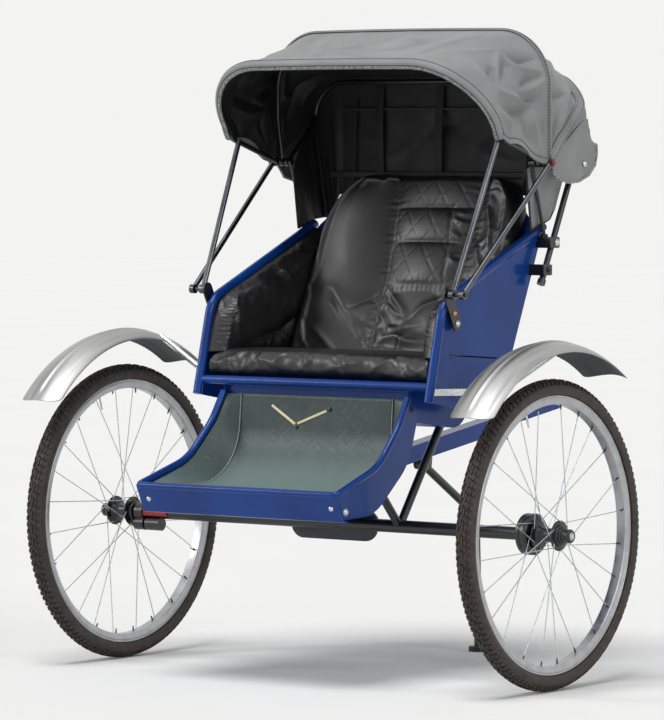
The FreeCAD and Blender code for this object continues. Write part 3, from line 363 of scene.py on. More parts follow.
def new_finish(name, **values):
    """A material with one shader whose sockets take the given values, and its object coordinates."""
    material = bpy.data.materials.new(name)
    material.use_nodes = True
    tree = material.node_tree
    shader = tree.nodes["Principled BSDF"]
    for key, value in values.items():
        shader.inputs[key.replace("_", " ")].default_value = value
    return material, tree, shader, add(tree, "TexCoord").outputs["Object"]


# %% [markdown]
# Four patterns recur in the finishes: a cloudy noise, a value turned into colour, a value that
# sets the roughness, and a height that raises the surface.

# %% Patterns
def noise(tree, place, size_mm, **values):
    """The value of a noise whose clouds are about one size across."""
    return add(tree, "TexNoise", None, {"Vector": place, "Scale": 1000 / size_mm, **values}).outputs["Fac"]


def ramp(tree, value, stops):
    """A value turned into colour by stops, each a place from 0 to 1 and a colour."""
    node = add(tree, "ValToRGB", None, {"Fac": value})
    while len(node.color_ramp.elements) < len(stops):
        node.color_ramp.elements.new(0.5)
    for element, (where, colour) in zip(node.color_ramp.elements, stops):
        element.position, element.color = where, colour
    return node.outputs["Color"]


def tinted(tree, shader, value, dark, light, low=0.3, high=0.7):
    """Colours a shader from dark to light as a value goes from low to high."""
    tint = ramp(tree, value, [(low, linear(dark)), (high, linear(light))])
    tree.links.new(tint, shader.inputs["Base Color"])
    return tint


def roughened(tree, shader, value, low, high):
    """Sets a shader's roughness from low to high as a value goes from 0.3 to 0.7."""
    rough = add(tree, "MapRange", None, {"Value": value, "From Min": 0.3, "From Max": 0.7,
                                         "To Min": low, "To Max": high})
    tree.links.new(rough.outputs[0], shader.inputs["Roughness"])


def bumped(tree, shader, height, distance, strength, over=None, **settings):
    """Raises a shader's surface by a height from 0 to 1 times a distance, over the bump before it."""
    inputs = {"Height": height, "Distance": distance, "Strength": strength}
    if over is not None:
        inputs["Normal"] = over
    normal = add(tree, "Bump", settings, inputs).outputs["Normal"]
    tree.links.new(normal, shader.inputs["Normal"])
    return normal


# %% [markdown]
# ## Studio
#
# The backdrop is bright only where the camera, a reflection or a clear part looks at it. To the
# object's surfaces it is a dim sky, so the lamps model the form and the floor keeps its shadow.

# %% Lamps, sky and floor
def lamp(name, source, spread_deg, strength):
    """A very distant soft lamp: it shines from the source towards the middle of the scene."""
    data = bpy.data.lights.new(name, "SUN")
    data.angle, data.energy = math.radians(spread_deg), strength
    z = unit(np.array(source, float))
    return placed(bpy.data.objects.new(name, data), unit(np.cross([0, 0, 1], z)), z)


lamp("lamp_over", (0.1, -0.7, 2.0), 26, 1.75)
lamp("lamp_left", (-2.6, -2.2, 1.5), 16, 0.75)
lamp("lamp_right", (3.0, -0.5, 1.3), 16, 0.5)

world = bpy.data.worlds.new("studio")
bpy.context.scene.world = world
world.use_nodes = True
sky = world.node_tree
rays = add(sky, "LightPath")
seen = rays.outputs["Is Camera Ray"]
for kind in ("Is Glossy Ray", "Is Transmission Ray"):
    seen = add(sky, "Math", {"operation": "MAXIMUM"}, {0: seen, 1: rays.outputs[kind]}).outputs[0]
level = add(sky, "Mix", {"data_type": "FLOAT"}, {"Factor": seen, "A": 0.3, "B": 1.0})
backdrop = sky.nodes["Background"]
backdrop.inputs["Color"].default_value = linear("#f3f3f2")
sky.links.new(level.outputs[0], backdrop.inputs["Strength"])

floor_finish, tree, shader, place = new_finish("painted_studio_floor", Roughness=0.85)
tinted(tree, shader, noise(tree, place, 1000 / 1.3, Detail=2.0), "#f5f5f4", "#f7f7f6")
floor_mesh = bpy.data.meshes.new("floor")
floor_mesh.from_pydata([(-30, -30, 0), (30, -30, 0), (30, 30, 0), (-30, 30, 0)], [], [(0, 1, 2, 3)])
floor_mesh.materials.append(floor_finish)
floor = bpy.data.objects.new("floor", floor_mesh)
bpy.context.collection.objects.link(floor)

# %% [markdown]
# ## Painted and plated metal
#
# The tub, footboard and frame are sheet steel under stoved enamel in royal blue: a deep colour
# under a clear glassy layer, so the highlights stay sharp and pale. The bows, posts and hubs are
# powder coated black, which is duller. A faint orange-peel ripple a few millimetres wide keeps
# the gloss from looking like plastic, and a little cloudiness keeps the colour from being flat.

# %% Enamel and powder coat
def coated(name, dark, light, cloud_mm, peel_mm, peel_depth, **values):
    """A coated metal: two close colours in clouds of one size, and a fine ripple of another."""
    material, tree, shader, place = new_finish(name, **values)
    tinted(tree, shader, noise(tree, place, cloud_mm, Detail=3.0), dark, light)
    bumped(tree, shader, noise(tree, place, peel_mm, Detail=2.0), peel_depth, 0.5)
    return material


BLUE_ENAMEL = coated("stoved_blue_enamel", "#063178", "#0c4190", 180, 6, 0.00008,
                     Roughness=0.24, Specular_IOR_Level=0.2, Coat_Weight=0.16, Coat_Roughness=0.04)
BLACK_COAT = coated("black_powder_coat", "#0d0e10", "#17181b", 40, 2.5, 0.00012,
                    Roughness=0.34, Coat_Weight=0.25, Coat_Roughness=0.2)
DARK_COAT = coated("grey_powder_coat", "#2c2f34", "#3a3d43", 50, 2.5, 0.0001, Roughness=0.5)
CREAM = coated("cream_enamel", "#e6d6a8", "#f2e5c2", 30, 3, 0.00005, Roughness=0.35)
RED_COAT = coated("red_anodised_aluminium", "#7d0d0e", "#9a1413", 30, 2, 0.00005,
                  Roughness=0.32, Metallic=0.25, Coat_Weight=0.2)

# %% [markdown]
# ## Bare metal
#
# Bare metal is told by its reflections, so its roughness does the work: drawn steel rods keep
# fine lines along their length, cast and turned parts stay cloudy, and polished aluminium is
# almost a mirror with soft blotches where the wheel of the buffing machine went over it.

# %% Bare metals
def bare(name, dark, light, rough_low, rough_high, grain_mm, stretch=(1, 1, 1)):
    """A bare metal: grain stretched along its axes makes both the tint and the roughness."""
    material, tree, shader, place = new_finish(name, Metallic=1.0)
    along = add(tree, "Mapping", None, {"Vector": place, "Scale": stretch}).outputs[0]
    grain = noise(tree, along, grain_mm, Detail=4.0)
    tinted(tree, shader, grain, dark, light)
    roughened(tree, shader, grain, rough_low, rough_high)
    bumped(tree, shader, grain, 0.00004, 0.4)
    return material


BRIGHT_STEEL = bare("zinc_plated_steel", "#b9bcc0", "#dddfe2", 0.16, 0.3, 6)
SPOKE_STEEL = bare("drawn_stainless_wire", "#a8abb0", "#d2d5d8", 0.15, 0.3, 8)
DARK_CHROME = bare("dark_chromed_tube", "#4e4f52", "#66686c", 0.22, 0.3, 90)
RIM_METAL = bare("satin_anodised_rim", "#a2a4a7", "#b9bbbd", 0.28, 0.42, 30)
BRASS = bare("turned_brass", "#b08a45", "#d8b56a", 0.2, 0.34, 5)
GUARD_METAL = bare("polished_aluminium", "#909092", "#b8b8b6", 0.38, 0.52, 110, (4.0, 0.3, 0.3))
GUARD_INSIDE = bare("mill_finish_aluminium", "#55565a", "#68696d", 0.5, 0.65, 60, (2.0, 0.6, 0.6))

# %% [markdown]
# ## Rubber
#
# Tyres are carbon-filled rubber, brown black and matt, with paler clouds of dirt. The mat is
# a sheet of grey-green rubber with a faint square emboss and pale flecks of ground rubber in it.
# Its tints are painted light and shade: the dark base is painted shade on the upright part and
# the linings, and a paler tint mixed in where the surface faces up is painted light.

# %% Rubbers
def rubber(name, dark, light, cloud_mm, roughness):
    """A matt rubber: clouds of dirt and a fine grit in the bump."""
    material, tree, shader, place = new_finish(name, Roughness=roughness)
    cloud = noise(tree, place, cloud_mm, Detail=6.0, Roughness=0.65)
    tint = tinted(tree, shader, cloud, dark, light, 0.35)
    bumped(tree, shader, noise(tree, place, 1.2, Detail=2.0), 0.0002, 0.5)
    return material, tree, shader, place, tint


def mixed(tree, factor, under, over):
    """One colour over another by a factor."""
    colours = {"Factor": factor, "A": under, "B": linear(over)}
    return add(tree, "Mix", {"data_type": "RGBA"}, colours).outputs["Result"]


TYRE_RUBBER = rubber("tyre_rubber", "#28221f", "#463d37", 22, 0.66)[0]
FOOT_RUBBER = rubber("moulded_black_rubber", "#141414", "#1f1f1f", 12, 0.65)[0]

# Painted shade in the dark base tint, and painted light in the pale tint that an upward facing mixes in.
MAT_RUBBER, tree, shader, place, tint = rubber("flecked_mat_rubber", "#283736", "#3b4b4a", 90, 0.42)
facing_way = add(tree, "SeparateXYZ", None, {"Vector": add(tree, "NewGeometry").outputs["Normal"]})
painted_top_light = add(tree, "MapRange", None, {"Value": facing_way.outputs["Z"], "From Min": 0.3, "To Max": 0.85})
tint_with_painted_light = mixed(tree, painted_top_light.outputs[0], tint, "#7a8e8c")
specks = add(tree, "TexVoronoi", {"feature": "F1"}, {"Vector": place, "Scale": 1000 / 9})
speck = ramp(tree, specks.outputs["Distance"], [(0.06, grey(1.0)), (0.1, grey(0.0))])
rare = ramp(tree, noise(tree, place, 14, Detail=0.0), [(0.52, grey(0.0)), (0.6, grey(0.7))])
both = add(tree, "Math", {"operation": "MULTIPLY"}, {0: speck, 1: rare})
tree.links.new(mixed(tree, both.outputs[0], tint_with_painted_light, "#8fa39c"), shader.inputs["Base Color"])
askew = add(tree, "Mapping", None, {"Vector": place, "Rotation": (0.3, math.radians(45), 0.3)})
squares = add(tree, "TexVoronoi", {"feature": "F1", "distance": "CHEBYCHEV"},
              {"Vector": askew.outputs[0], "Scale": 1000 / 38, "Randomness": 0.4})
outline = ramp(tree, squares.outputs["Distance"],
               [(0.22, grey(0.0)), (0.25, grey(1.0)), (0.30, grey(1.0)), (0.33, grey(0.0))])
bumped(tree, shader, outline, 0.0005, 0.5)

# %% [markdown]
# ## Leatherette and canvas
#
# The seat is covered in leatherette, vinyl on a knit backing: black, satin, with a pebble grain
# about two millimetres across. The column of the back has lines pressed into it that cross in
# diamonds. The hood is coated canvas in mid grey. Its threads are half a millimetre apart, too
# fine for a picture of the whole unit, so the weave is drawn at 1.6 mm.

# %% Leatherette
def waves(tree, vector, direction, pitch_mm):
    """Stripes at a pitch: Blender's wave makes 20 over pi of them in a unit at scale 1."""
    return add(tree, "TexWave", {"bands_direction": direction},
               {"Vector": vector, "Scale": 1000 / pitch_mm / 20 * math.pi}).outputs["Fac"]


def leatherette(name, dark, light, specular):
    """Pebbled vinyl: cells 1.8 mm wide, pressed in at their edges, under soft clouds."""
    material, tree, shader, place = new_finish(name, Specular_IOR_Level=specular)
    cloud = noise(tree, place, 70, Detail=5.0)
    tinted(tree, shader, cloud, dark, light)
    roughened(tree, shader, cloud, 0.34, 0.46)
    pebble = add(tree, "TexVoronoi", {"feature": "F1"}, {"Vector": place, "Scale": 1000 / 1.8})
    normal = bumped(tree, shader, pebble.outputs["Distance"], 0.00018, 0.45, invert=True)
    return material, tree, shader, place, normal


QUILTED, tree, shader, place, pebbled = leatherette("quilted_leatherette", "#161618", "#202022", 0.5)
bands = []
for turn_deg in (40, -40):
    aslant = add(tree, "Mapping", None, {"Vector": place, "Rotation": (0, math.radians(turn_deg), 0)})
    bands.append(ramp(tree, waves(tree, aslant.outputs[0], "X", 24), [(0.0, grey(0.0)), (0.14, grey(1.0))]))
pressed = add(tree, "Math", {"operation": "MINIMUM"}, {0: bands[0], 1: bands[1]})
bumped(tree, shader, pressed.outputs[0], 0.0006, 0.6, pebbled)
LEATHERETTE = leatherette("black_leatherette", "#141416", "#1d1d20", 0.6)[0]

# %% [markdown]
# Canvas, webbing and thread are the same weave at other pitches. The woven tape that binds the
# hood's edge is speckled, because its threads are of two greys.

# %% Canvas
def canvas(name, dark, light, pitch_mm, depth, **values):
    """Plain weave: two crossed waves at the thread pitch, under clouds of wear 120 mm wide."""
    material, tree, shader, place = new_finish(name, **values)
    tinted(tree, shader, noise(tree, place, 120, Detail=6.0, Roughness=0.6), dark, light)
    askew = add(tree, "Mapping", None, {"Vector": place, "Rotation": (0.6, 0.8, 0.3)}).outputs[0]
    weave = add(tree, "Math", {"operation": "ADD"},
                {0: waves(tree, askew, "X", pitch_mm), 1: waves(tree, askew, "Z", pitch_mm)})
    woven = bumped(tree, shader, weave.outputs[0], depth, 0.35)
    bumped(tree, shader, noise(tree, place, 45, Detail=4.0, Roughness=0.55), 0.004, 0.35, woven)
    return material


HOOD_CANVAS = canvas("coated_grey_canvas", "#808283", "#939596", 1.6, 0.0002,
                     Roughness=0.62, Sheen_Weight=0.15)
HOOD_LINING = canvas("black_canvas_backing", "#141416", "#1f1f22", 1.6, 0.0002, Roughness=0.6)
BINDING = coated("woven_edge_tape", "#58595a", "#b4b6b6", 5, 2.0, 0.0008, Roughness=0.85)
WEBBING = canvas("black_webbing", "#0c0c0d", "#161618", 2.2, 0.0004, Roughness=0.7)
THREAD = canvas("bonded_thread", "#8d8f92", "#a2a4a7", 0.8, 0.0001, Roughness=0.6)
BLACK_THREAD = canvas("bonded_black_thread", "#232326", "#323236", 0.8, 0.0001, Roughness=0.5)

# %% [markdown]
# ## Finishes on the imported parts
#
# Parts whose shape is right keep it, and only their material slot changes.

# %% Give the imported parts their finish
FINISH_OF = {
    BLUE_ENAMEL: "tub_side_left tub_side_right edge_tubes tub_back seat_pan seat_rail seat_box foot_side_left "
                 "foot_side_right foot_floor foot_lip foot_rims boom_sleeve boom_bar",
    BLACK_COAT: "axle frame_legs bow_front bow_mid bow_rear hood_brackets hood_clamps rear_posts hood_braces "
                "leg_bracket stand_leg brake_collar hub_left hub_right",
    DARK_COAT: "axle_plate",
    BRIGHT_STEEL: "guard_stays",
    DARK_CHROME: "hood_struts prop_left prop_right",
    SPOKE_STEEL: "spokes_left spokes_right",
    RED_COAT: "brake_sleeve",
    FOOT_RUBBER: "leg_foot",
}
for finish, names in FINISH_OF.items():
    for name in names.split():
        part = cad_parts[name]
        part.data.materials.clear()
        part.data.materials.append(finish)
print(sum(len(names.split()) for names in FINISH_OF.values()), "packed parts have their finish")

# %% [markdown]
# ## Tyres
#
# A trekking tyre: smooth sidewalls and a tread of rubber blocks. The carcass is one profile
# turned about the axle. The blocks could be a bump map, but the tread shows on the outline, so
# each block is a small closed wedge. Its corners are placed by two angles, one round the wheel
# and one round the tyre's own section, and all blocks of a row are computed at once.

# %% Tread and carcass
TYRE_R, TYRE_SECTION_R = 355.0, 23.0
SECTION_CENTRE_R = TYRE_R - TYRE_SECTION_R
LUG_PITCHES = 68
BLOCK = [[0, 1, 2, 3], [7, 6, 5, 4], [0, 4, 5, 1], [1, 5, 6, 2], [2, 6, 7, 3], [3, 7, 4, 0]]


def on_tyre(x_mid, wheel_deg, section_deg, radius):
    """A point by its angle round the wheel, its angle across the section from the crown, and its
    distance from the section's middle."""
    w, s = np.radians(wheel_deg), np.radians(section_deg)
    r = SECTION_CENTRE_R + radius * np.cos(s)
    return np.stack(np.broadcast_arrays(x_mid + radius * np.sin(s), r * np.cos(w), AXLE_Z + r * np.sin(w)), -1)


def tread_row(x_mid, begin, end, across_a, across_b, skew, top=TYRE_SECTION_R, base=17.0):
    """One row of blocks.

    Each spans two shares of the pitch round the wheel and two angles across, is skewed along, and
    tapers to its top by 13 hundredths of its length and 7 of its width at each edge."""
    pitch = 360 / LUG_PITCHES
    start = np.arange(LUG_PITCHES) * pitch
    wheel = np.array([begin, end, end + skew, begin + skew]) * pitch
    across = np.array([across_a, across_a, across_b, across_b])
    inset_w = np.array([0.13, -0.13, -0.13, 0.13]) * (end - begin) * pitch
    inset_a = np.array([1, 1, -1, -1]) * (across_b - across_a) * 0.07
    low = on_tyre(x_mid, start[:, None] + wheel, across, base)
    high = on_tyre(x_mid, start[:, None] + wheel + inset_w, across + inset_a, top)
    return np.concatenate([low, high], 1), [[v + 8 * k for v in f] for k in range(LUG_PITCHES) for f in BLOCK]


def carcass(x_mid):
    """The tyre under its blocks, turned about the axle.

    Its section is an arc of 125 degrees each way, whose radius swells from 19 to 22.2 mm between
    46 and 70 degrees from the crown."""
    s = np.radians(np.linspace(-125, 125, 45))
    bulge = 19.0 + 3.2 * smooth((np.abs(np.degrees(s)) - 46) / 24)
    x, r = bulge * np.sin(s), SECTION_CENTRE_R + bulge * np.cos(s)
    return turned(np.stack([x, r], -1), x_mid, count=160)


for side_name, side in SIDES:
    x_mid = side * HALF_TRACK
    parts = [carcass(x_mid)]
    parts += [tread_row(x_mid, 0.05, 0.77, -14, -1.6, 0.12), tread_row(x_mid, 0.38, 1.1, 1.6, 14, -0.12)]
    for across in (-1, 1):
        for start, far in ((0.07, 67), (0.58, 58)):
            parts.append(tread_row(x_mid, start, start + 0.33, across * 19, across * 36, 0.12))
            start += 0.13
            parts.append(tread_row(x_mid, start, start + 0.33, across * 39, across * far, 0.08, 22.9, 18))
    tyre = closed_piece("tyre_tread_" + side_name, parts, TYRE_RUBBER, "wheel_" + side_name, "tyre_rubber", 30)
    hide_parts("tyre_" + side_name)
    print(tyre.name, "has", len(tyre.data.polygons), "faces")

# %% [markdown]
# ## Rims
#
# A double-walled aluminium rim has hooked top edges, flat brake walls with a wear groove, a step,
# and a wide inner face that looks at the hub and holds the spoke nipples. It is a closed profile
# turned about the axle, given here as distances along X and radii.

# %% Rims, nipples and valves
RIM_INNER_R, VALVE_TIP_R, VALVE_ANGLE = 297.0, 262.0, 1.9
RIM_HALF = [(15.0, 318.0), (15.0, 314.6), (14.2, 314.0), (14.2, 313.2), (15.0, 312.6), (15.0, 308.8),
            (14.4, 308.0), (14.0, 305.6), (12.6, 298.6), (11.4, RIM_INNER_R)]
RIM_PROFILE = rounded_corners(RIM_HALF + [(-x, r) for x, r in RIM_HALF[::-1]], 0.8, 3)
NIPPLE = [(0, 2.6), (0.12, 2.6), (0.2, 2.0), (0.85, 1.7), (1, 1.4)]
VALVE = [(0, 3.4), (0.1, 3.4), (0.1, 2.6), (0.7, 2.6), (0.72, 2.1), (1, 2.1)]
SPOKES_A_SIDE, FLANGE_HOLE_R, LACING_DEG = 12, 31, 52.5


def on_wheel(x, radius, angle):
    """A point of a wheel by its place along the axle, its radius and its angle."""
    return np.stack(np.broadcast_arrays(x, radius * np.cos(angle), AXLE_Z + radius * np.sin(angle)), -1)


def spoke_lines(x_mid):
    """Start and end of every spoke.

    The starts are holes in a circle on each flange. The ends are rim holes, turned on from there
    by the sweep of the lacing, forward and back by turns."""
    starts, ends = [], []
    for side in (-1, 1):
        k = np.arange(SPOKES_A_SIDE)
        lean = np.where(k % 2 == 0, 1, -1)
        a = np.radians(k * 30.0 + (30.0 if side > 0 else 0.0))
        b = a + np.radians(lean * LACING_DEG)
        starts.append(on_wheel(x_mid + side * (27 + lean * 4.3), FLANGE_HOLE_R, a))
        ends.append(on_wheel(x_mid + side * 4.0, RIM_INNER_R, b))
    return np.concatenate(starts), np.concatenate(ends)


for side_name, side in SIDES:
    x_mid, wheel = side * HALF_TRACK, "wheel_" + side_name
    shell = turned(RIM_PROFILE, x_mid, count=128)
    rim = closed_piece("rim_shell_" + side_name, [shell], RIM_METAL, wheel, "rim_steel", 35)
    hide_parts("rim_" + side_name)
    starts, ends = spoke_lines(x_mid)
    towards = unit(starts - ends)
    nipples = rods(ends - towards * 0.5, ends + towards * 11, NIPPLE)
    closed_piece("nipples_" + side_name, [nipples], DARK_COAT, wheel, "rim_steel", 40)
    foot, tip = (on_wheel(x_mid, radius, VALVE_ANGLE)[None] for radius in (RIM_INNER_R, VALVE_TIP_R))
    closed_piece("valve_" + side_name, [rods(foot, tip, VALVE, 12)], BRIGHT_STEEL, wheel, "rim_steel", 40)
print(len(starts), "spokes a wheel")

# %% [markdown]
# ## Hubs
#
# Each hub is a turned body: two flanges drilled for the spokes, a waisted barrel, stepped rings
# and an outer cap with a bright recessed centre. The left hub is short inboard, and the right
# one has a drum there. The profiles run from the inner end to the outer.

# %% Hubs
DRUM_INNER = [(-66, 8.3), (-66, 42), (-62, 47.5), (-54, 47.5), (-53, 45.5), (-51, 45.5), (-50, 47.5),
              (-38, 47.5), (-35, 44), (-34, 22)]
SHORT_INNER = [(-40, 8.3), (-40, 18), (-38, 23), (-34, 24.5), (-33, 22.5), (-31, 22)]
HUB_MIDDLE = [(-29.2, 22), (-29, 34), (-28, 35), (-26, 35), (-25, 34), (-24.6, 22), (-17, 18), (-6, 16.5),
              (6, 16.5), (17, 18), (24.6, 22), (25, 34), (26, 35), (28, 35), (29, 34), (29.4, 26)]
HUB_OUTER = [(34, 26), (36, 24), (36, 21), (39, 21), (41, 19.5), (41, 17), (47, 17), (48, 15), (49.5, 15),
             (50, 16), (58, 16), (59.5, 14.6), (61.5, 13.4), (62, 12), (62, 9.5), (58.5, 9), (58.5, 4.5),
             (60.5, 4), (60.5, 0.05), (54.5, 0.05), (54.5, 8.3)]
CAP = [(57.5, 9.2), (61.2, 9.0), (61.6, 8.2), (61.0, 7.0), (58.8, 6.4), (58.8, 4.6), (61.4, 4.2), (61.6, 0.05),
       (57.5, 0.05)]

for (side_name, side), inner in zip(SIDES, (SHORT_INNER, DRUM_INNER)):
    x_mid, wheel = side * HALF_TRACK, "wheel_" + side_name
    profile = rounded_corners(inner + HUB_MIDDLE + HUB_OUTER, 0.5, 2)
    shell = turned(profile, x_mid, side, 48)
    hub = closed_piece("hub_shell_" + side_name, [shell], BLACK_COAT, wheel, "frame_black", 32)
    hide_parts("hub_" + side_name)
    cap = turned(rounded_corners(CAP, 0.3, 2), x_mid, side, 40)
    closed_piece("hub_cap_" + side_name, [cap], BRIGHT_STEEL, wheel, "bright_steel", 32)
    print(hub.name, "has a profile of", len(profile), "points")

# %% [markdown]
# ## Mudguards
#
# Spun aluminium, domed across, with a fine crease along the crown, a shallow groove on each side
# of it and one near each edge, and rounded ends. The surface is a grid of angle round the axle
# and share of the width, and the width shrinks over the last 30 mm. A Solidify modifier gives the
# sheet its thickness, with a duller finish on the face that looks down. The guards in the
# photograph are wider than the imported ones, so each edge reaches out by 8 mm more.

# %% Mudguards
GUARD_R, GUARD_HALF_W, GUARD_DOME = 440.0, 60.0, 22.0
GUARD_FRONT_DEG, GUARD_REAR_DEG = 40.0, 54.0
TIP_LENGTH, TIP_POWER = 30.0, 2.6


def guard_surface(x_mid):
    """The crown's radius, less the fall of an arc across, plus a crease, less four grooves.

    The crease and the grooves are each a height times e to the power of minus the square of the
    distance from their line over their width. The fall at x is R less the root of R squared less
    x squared. Rows crowd towards both ends. There the half width is the full one times the root of
    order 2.6 of one less the share of the tip that is left, to that power, and at least 0.3."""
    dome_r = (GUARD_HALF_W ** 2 + GUARD_DOME ** 2) / (2 * GUARD_DOME)
    steps = np.linspace(-1, 1, 113)
    steps = 0.5 + 0.5 * np.sign(steps) * (1 - (1 - np.abs(steps)) ** 1.5)
    theta = np.radians(180 - GUARD_FRONT_DEG + (GUARD_REAR_DEG - 180 + GUARD_FRONT_DEG) * steps)
    near_end = np.minimum(theta[0] - theta, theta - theta[-1]) * GUARD_R
    tip = np.clip(near_end / TIP_LENGTH, 0, 1)
    half = GUARD_HALF_W * np.clip((1 - (1 - tip) ** TIP_POWER) ** (1 / TIP_POWER), 0.3, 1)
    x = half[:, None] * np.linspace(1, -1, 45)
    fall = dome_r - np.sqrt(dome_r ** 2 - x ** 2)
    starts = smooth((near_end - 12) / 30)[:, None]
    crease = 2.2 * starts * np.exp(-(x / 2.6) ** 2)
    grooves = 0.7 * starts * (np.exp(-((np.abs(x) - 9) / 3.4) ** 2) + np.exp(-((np.abs(x) - 47) / 3.0) ** 2))
    return on_wheel(x_mid + x, GUARD_R - fall + crease - grooves, theta[:, None]), grid_faces(*x.shape)


for side_name, side in SIDES:
    surface, faces = joined([guard_surface(side * HALF_TRACK)])
    guard = make_piece("mudguard_shell_" + side_name, surface, faces, [GUARD_METAL, GUARD_INSIDE], "body",
                       "guard_aluminium")
    wall = walled(guard, 1.8)
    wall.material_offset, wall.material_offset_rim = 1, 0
    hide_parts("mudguard_" + side_name)
    print(guard.name, "is", 2 * GUARD_HALF_W, "mm wide")

# %% [markdown]
# ## The hood's cloth
#
# The hood is one skin of canvas over three bows that all turn about the knob on each side. A
# flat panel between two bows would look like cardboard. Real cloth is held by the bows, hangs a
# little between them, and folds where it is pulled towards the knob. So each stretch is a grid:
# one number runs across, over the arch of a bow, and the other runs from bow to bow.

# %% Arches
CLOTH_OUT = 11.0
FRONT_ARCH = ((143.0, 1250.0), (8.0, 1422.0), 170.0)
MID_ARCH = ((318.0, 1196.0), (318.0, 1496.0), 122.0)
REAR_ARCH = ((472.0, 1298.0), (472.0, 1391.0), 88.0)
TOP_END, BEND_END = 0.34, 0.72


def arch_points(arch, across, out=CLOTH_OUT, crown=0.0):
    """Points over a bow for numbers from -1, one foot, to 1, the other.

    The top is straight to a third of the way, then comes a quarter circle, then a straight leg.
    Height in the bow's own plane runs from its foot towards its top, so a leaning bow leans. The
    crown adds its height times the cosine of a quarter turn for each half width."""
    foot, top, corner = np.array(arch[0]), np.array(arch[1]), arch[2] + out
    height = np.linalg.norm(top - foot)
    rise = (top - foot) / height
    height, half = height + out, BOW_HALF_W + out
    a = np.abs(across)
    on_top = np.clip(a / TOP_END, 0, 1)
    on_bend = np.clip((a - TOP_END) / (BEND_END - TOP_END), 0, 1) * np.pi / 2
    on_leg = np.clip((a - BEND_END) / (1 - BEND_END), 0, 1)
    x = (half - corner) * on_top + corner * np.sin(on_bend)
    v = height - corner * (1 - np.cos(on_bend)) - (height - corner) * on_leg
    v = v + crown * np.cos(np.clip(x / half, 0, 1) * np.pi / 2)
    return np.stack([np.sign(across) * x, foot[0] + rise[0] * v, foot[1] + rise[1] * v], -1)


# %% [markdown]
# A fold is a ridge or a hollow along a line. So the height of all folds needs each point's
# distance to each line, and how far along the line its nearest place is.

# %% Normals, distances and folds
FOLD_SHARPNESS = 1.25


def grid_normals(points):
    """Unit normals of a grid of points: the cross product of its two directions, turned outwards."""
    n = unit(np.cross(np.gradient(points, axis=1), np.gradient(points, axis=0)))
    out = points - np.array([0.0, 300.0, 1180.0])
    flip = np.sign((n * out).sum(-1, keepdims=True))
    return n * np.where(flip == 0, 1, flip)


def along_line(points, line):
    """Distance from each point to a run of straight pieces, and the share of the run at the nearest place."""
    line = np.asarray(line, float)
    a, b = line[:-1], line[1:]
    span = b - a
    length = np.linalg.norm(span, axis=1)
    t = np.clip(((points[..., None, :] - a) * span).sum(-1) / length ** 2, 0, 1)
    gap = np.linalg.norm(points[..., None, :] - (a + t[..., None] * span), axis=-1)
    best = gap.argmin(-1)
    start = np.concatenate([[0], np.cumsum(length)])
    t_best = np.take_along_axis(t, best[..., None], -1)[..., 0]
    return gap.min(-1), (start[best] + t_best * length[best]) / start[-1]


def folds(points, lines):
    """Height of all folds at each point.

    Each is its height, times a taper that is the sine of half a turn along the line to the power
    0.6, times e to the power of minus the distance over the tapered width, to the sharpness."""
    total = np.zeros(points.shape[:-1])
    for line, width, height in lines:
        gap, share = along_line(points, line)
        taper = np.sin(np.pi * np.clip(share, 0.02, 0.98)) ** 0.6
        total += height * taper * np.exp(-(gap / (width * (0.55 + 0.45 * taper))) ** FOLD_SHARPNESS)
    return total


def other_side(lines, shift, gain):
    """The same folds on the left side, moved a little and scaled, so that the two sides aren't twins."""
    return [([(-x, y + shift, z - 0.6 * shift) for x, y, z in line], width, height * gain)
            for line, width, height in lines]


def scaled(lines, gain):
    """The same folds, higher or lower."""
    return [(line, width, height * gain) for line, width, height in lines]


# %% [markdown]
# ## Folds, one by one
#
# A cloth simulation could find folds, but they would be anyone's folds. These are this hood's:
# long ridges from the front corner to the middle bow, hollows between them, and creases that
# gather towards the knob. Each is a line of a few points on the skin with a width and a height.

# %% Fold lines of the right side, the rear stretch and the top
SIDE_FOLDS = [
    ([(330, 218, 1462), (357, 176, 1428), (376, 149, 1396), (391, 134, 1361)], 9, 8.0),
    ([(275, 78, 1444), (334, 116, 1429), (368, 117, 1397), (391, 134, 1361), (401, 191, 1348), (403, 262, 1332)],
     10, 6.5),
    ([(352, 165, 1430), (368, 140, 1404), (386, 127, 1371)], 16, -9.0),
    ([(346, 220, 1453), (363, 206, 1432), (380, 165, 1395)], 15, -9.0),
    ([(341, 229, 1459), (369, 253, 1441), (381, 300, 1441)], 13, -9.0),
    ([(335, 215, 1462), (375, 228, 1425), (396, 298, 1410)], 9, 4.5),
    ([(400, 204, 1356), (403, 239, 1341), (403, 290, 1367)], 14, -8.0),
    ([(402, 238, 1362), (402, 263, 1373), (402, 300, 1388)], 9, 6.0),
    ([(398, 213, 1374), (399, 256, 1393), (400, 302, 1404)], 12, -7.0),
    ([(399, 128, 1335), (403, 178, 1318), (403, 258, 1325)], 15, -9.0),
    ([(402, 125, 1316), (403, 156, 1290), (403, 165, 1262)], 8, 4.5),
    ([(403, 255, 1332), (403, 254, 1289), (403, 275, 1235)], 9, 6.0),
    ([(403, 215, 1292), (403, 232, 1266), (403, 262, 1238)], 13, -5.0),
    ([(403, 292, 1300), (403, 300, 1262), (403, 306, 1222)], 8, -4.0),
    ([(222, 91, 1452), (289, 141, 1458), (325, 222, 1466)], 12, 4.0),
]
REAR_FOLDS = [
    ([(340, 447, 1410), (392, 408, 1382), (401, 398, 1361), (403, 380, 1307), (403, 352, 1262)], 9, 8.0),
    ([(403, 340, 1350), (402, 362, 1351), (402, 390, 1357)], 10, -7.0),
    ([(392, 350, 1412), (402, 349, 1375), (403, 345, 1330)], 12, -6.0),
    ([(367, 457, 1392), (394, 436, 1363), (403, 424, 1326)], 10, -6.0),
    ([(403, 322, 1236), (403, 344, 1261), (403, 356, 1312)], 9, -7.0),
    ([(380, 335, 1432), (360, 380, 1430), (330, 430, 1425)], 14, 5.0),
]
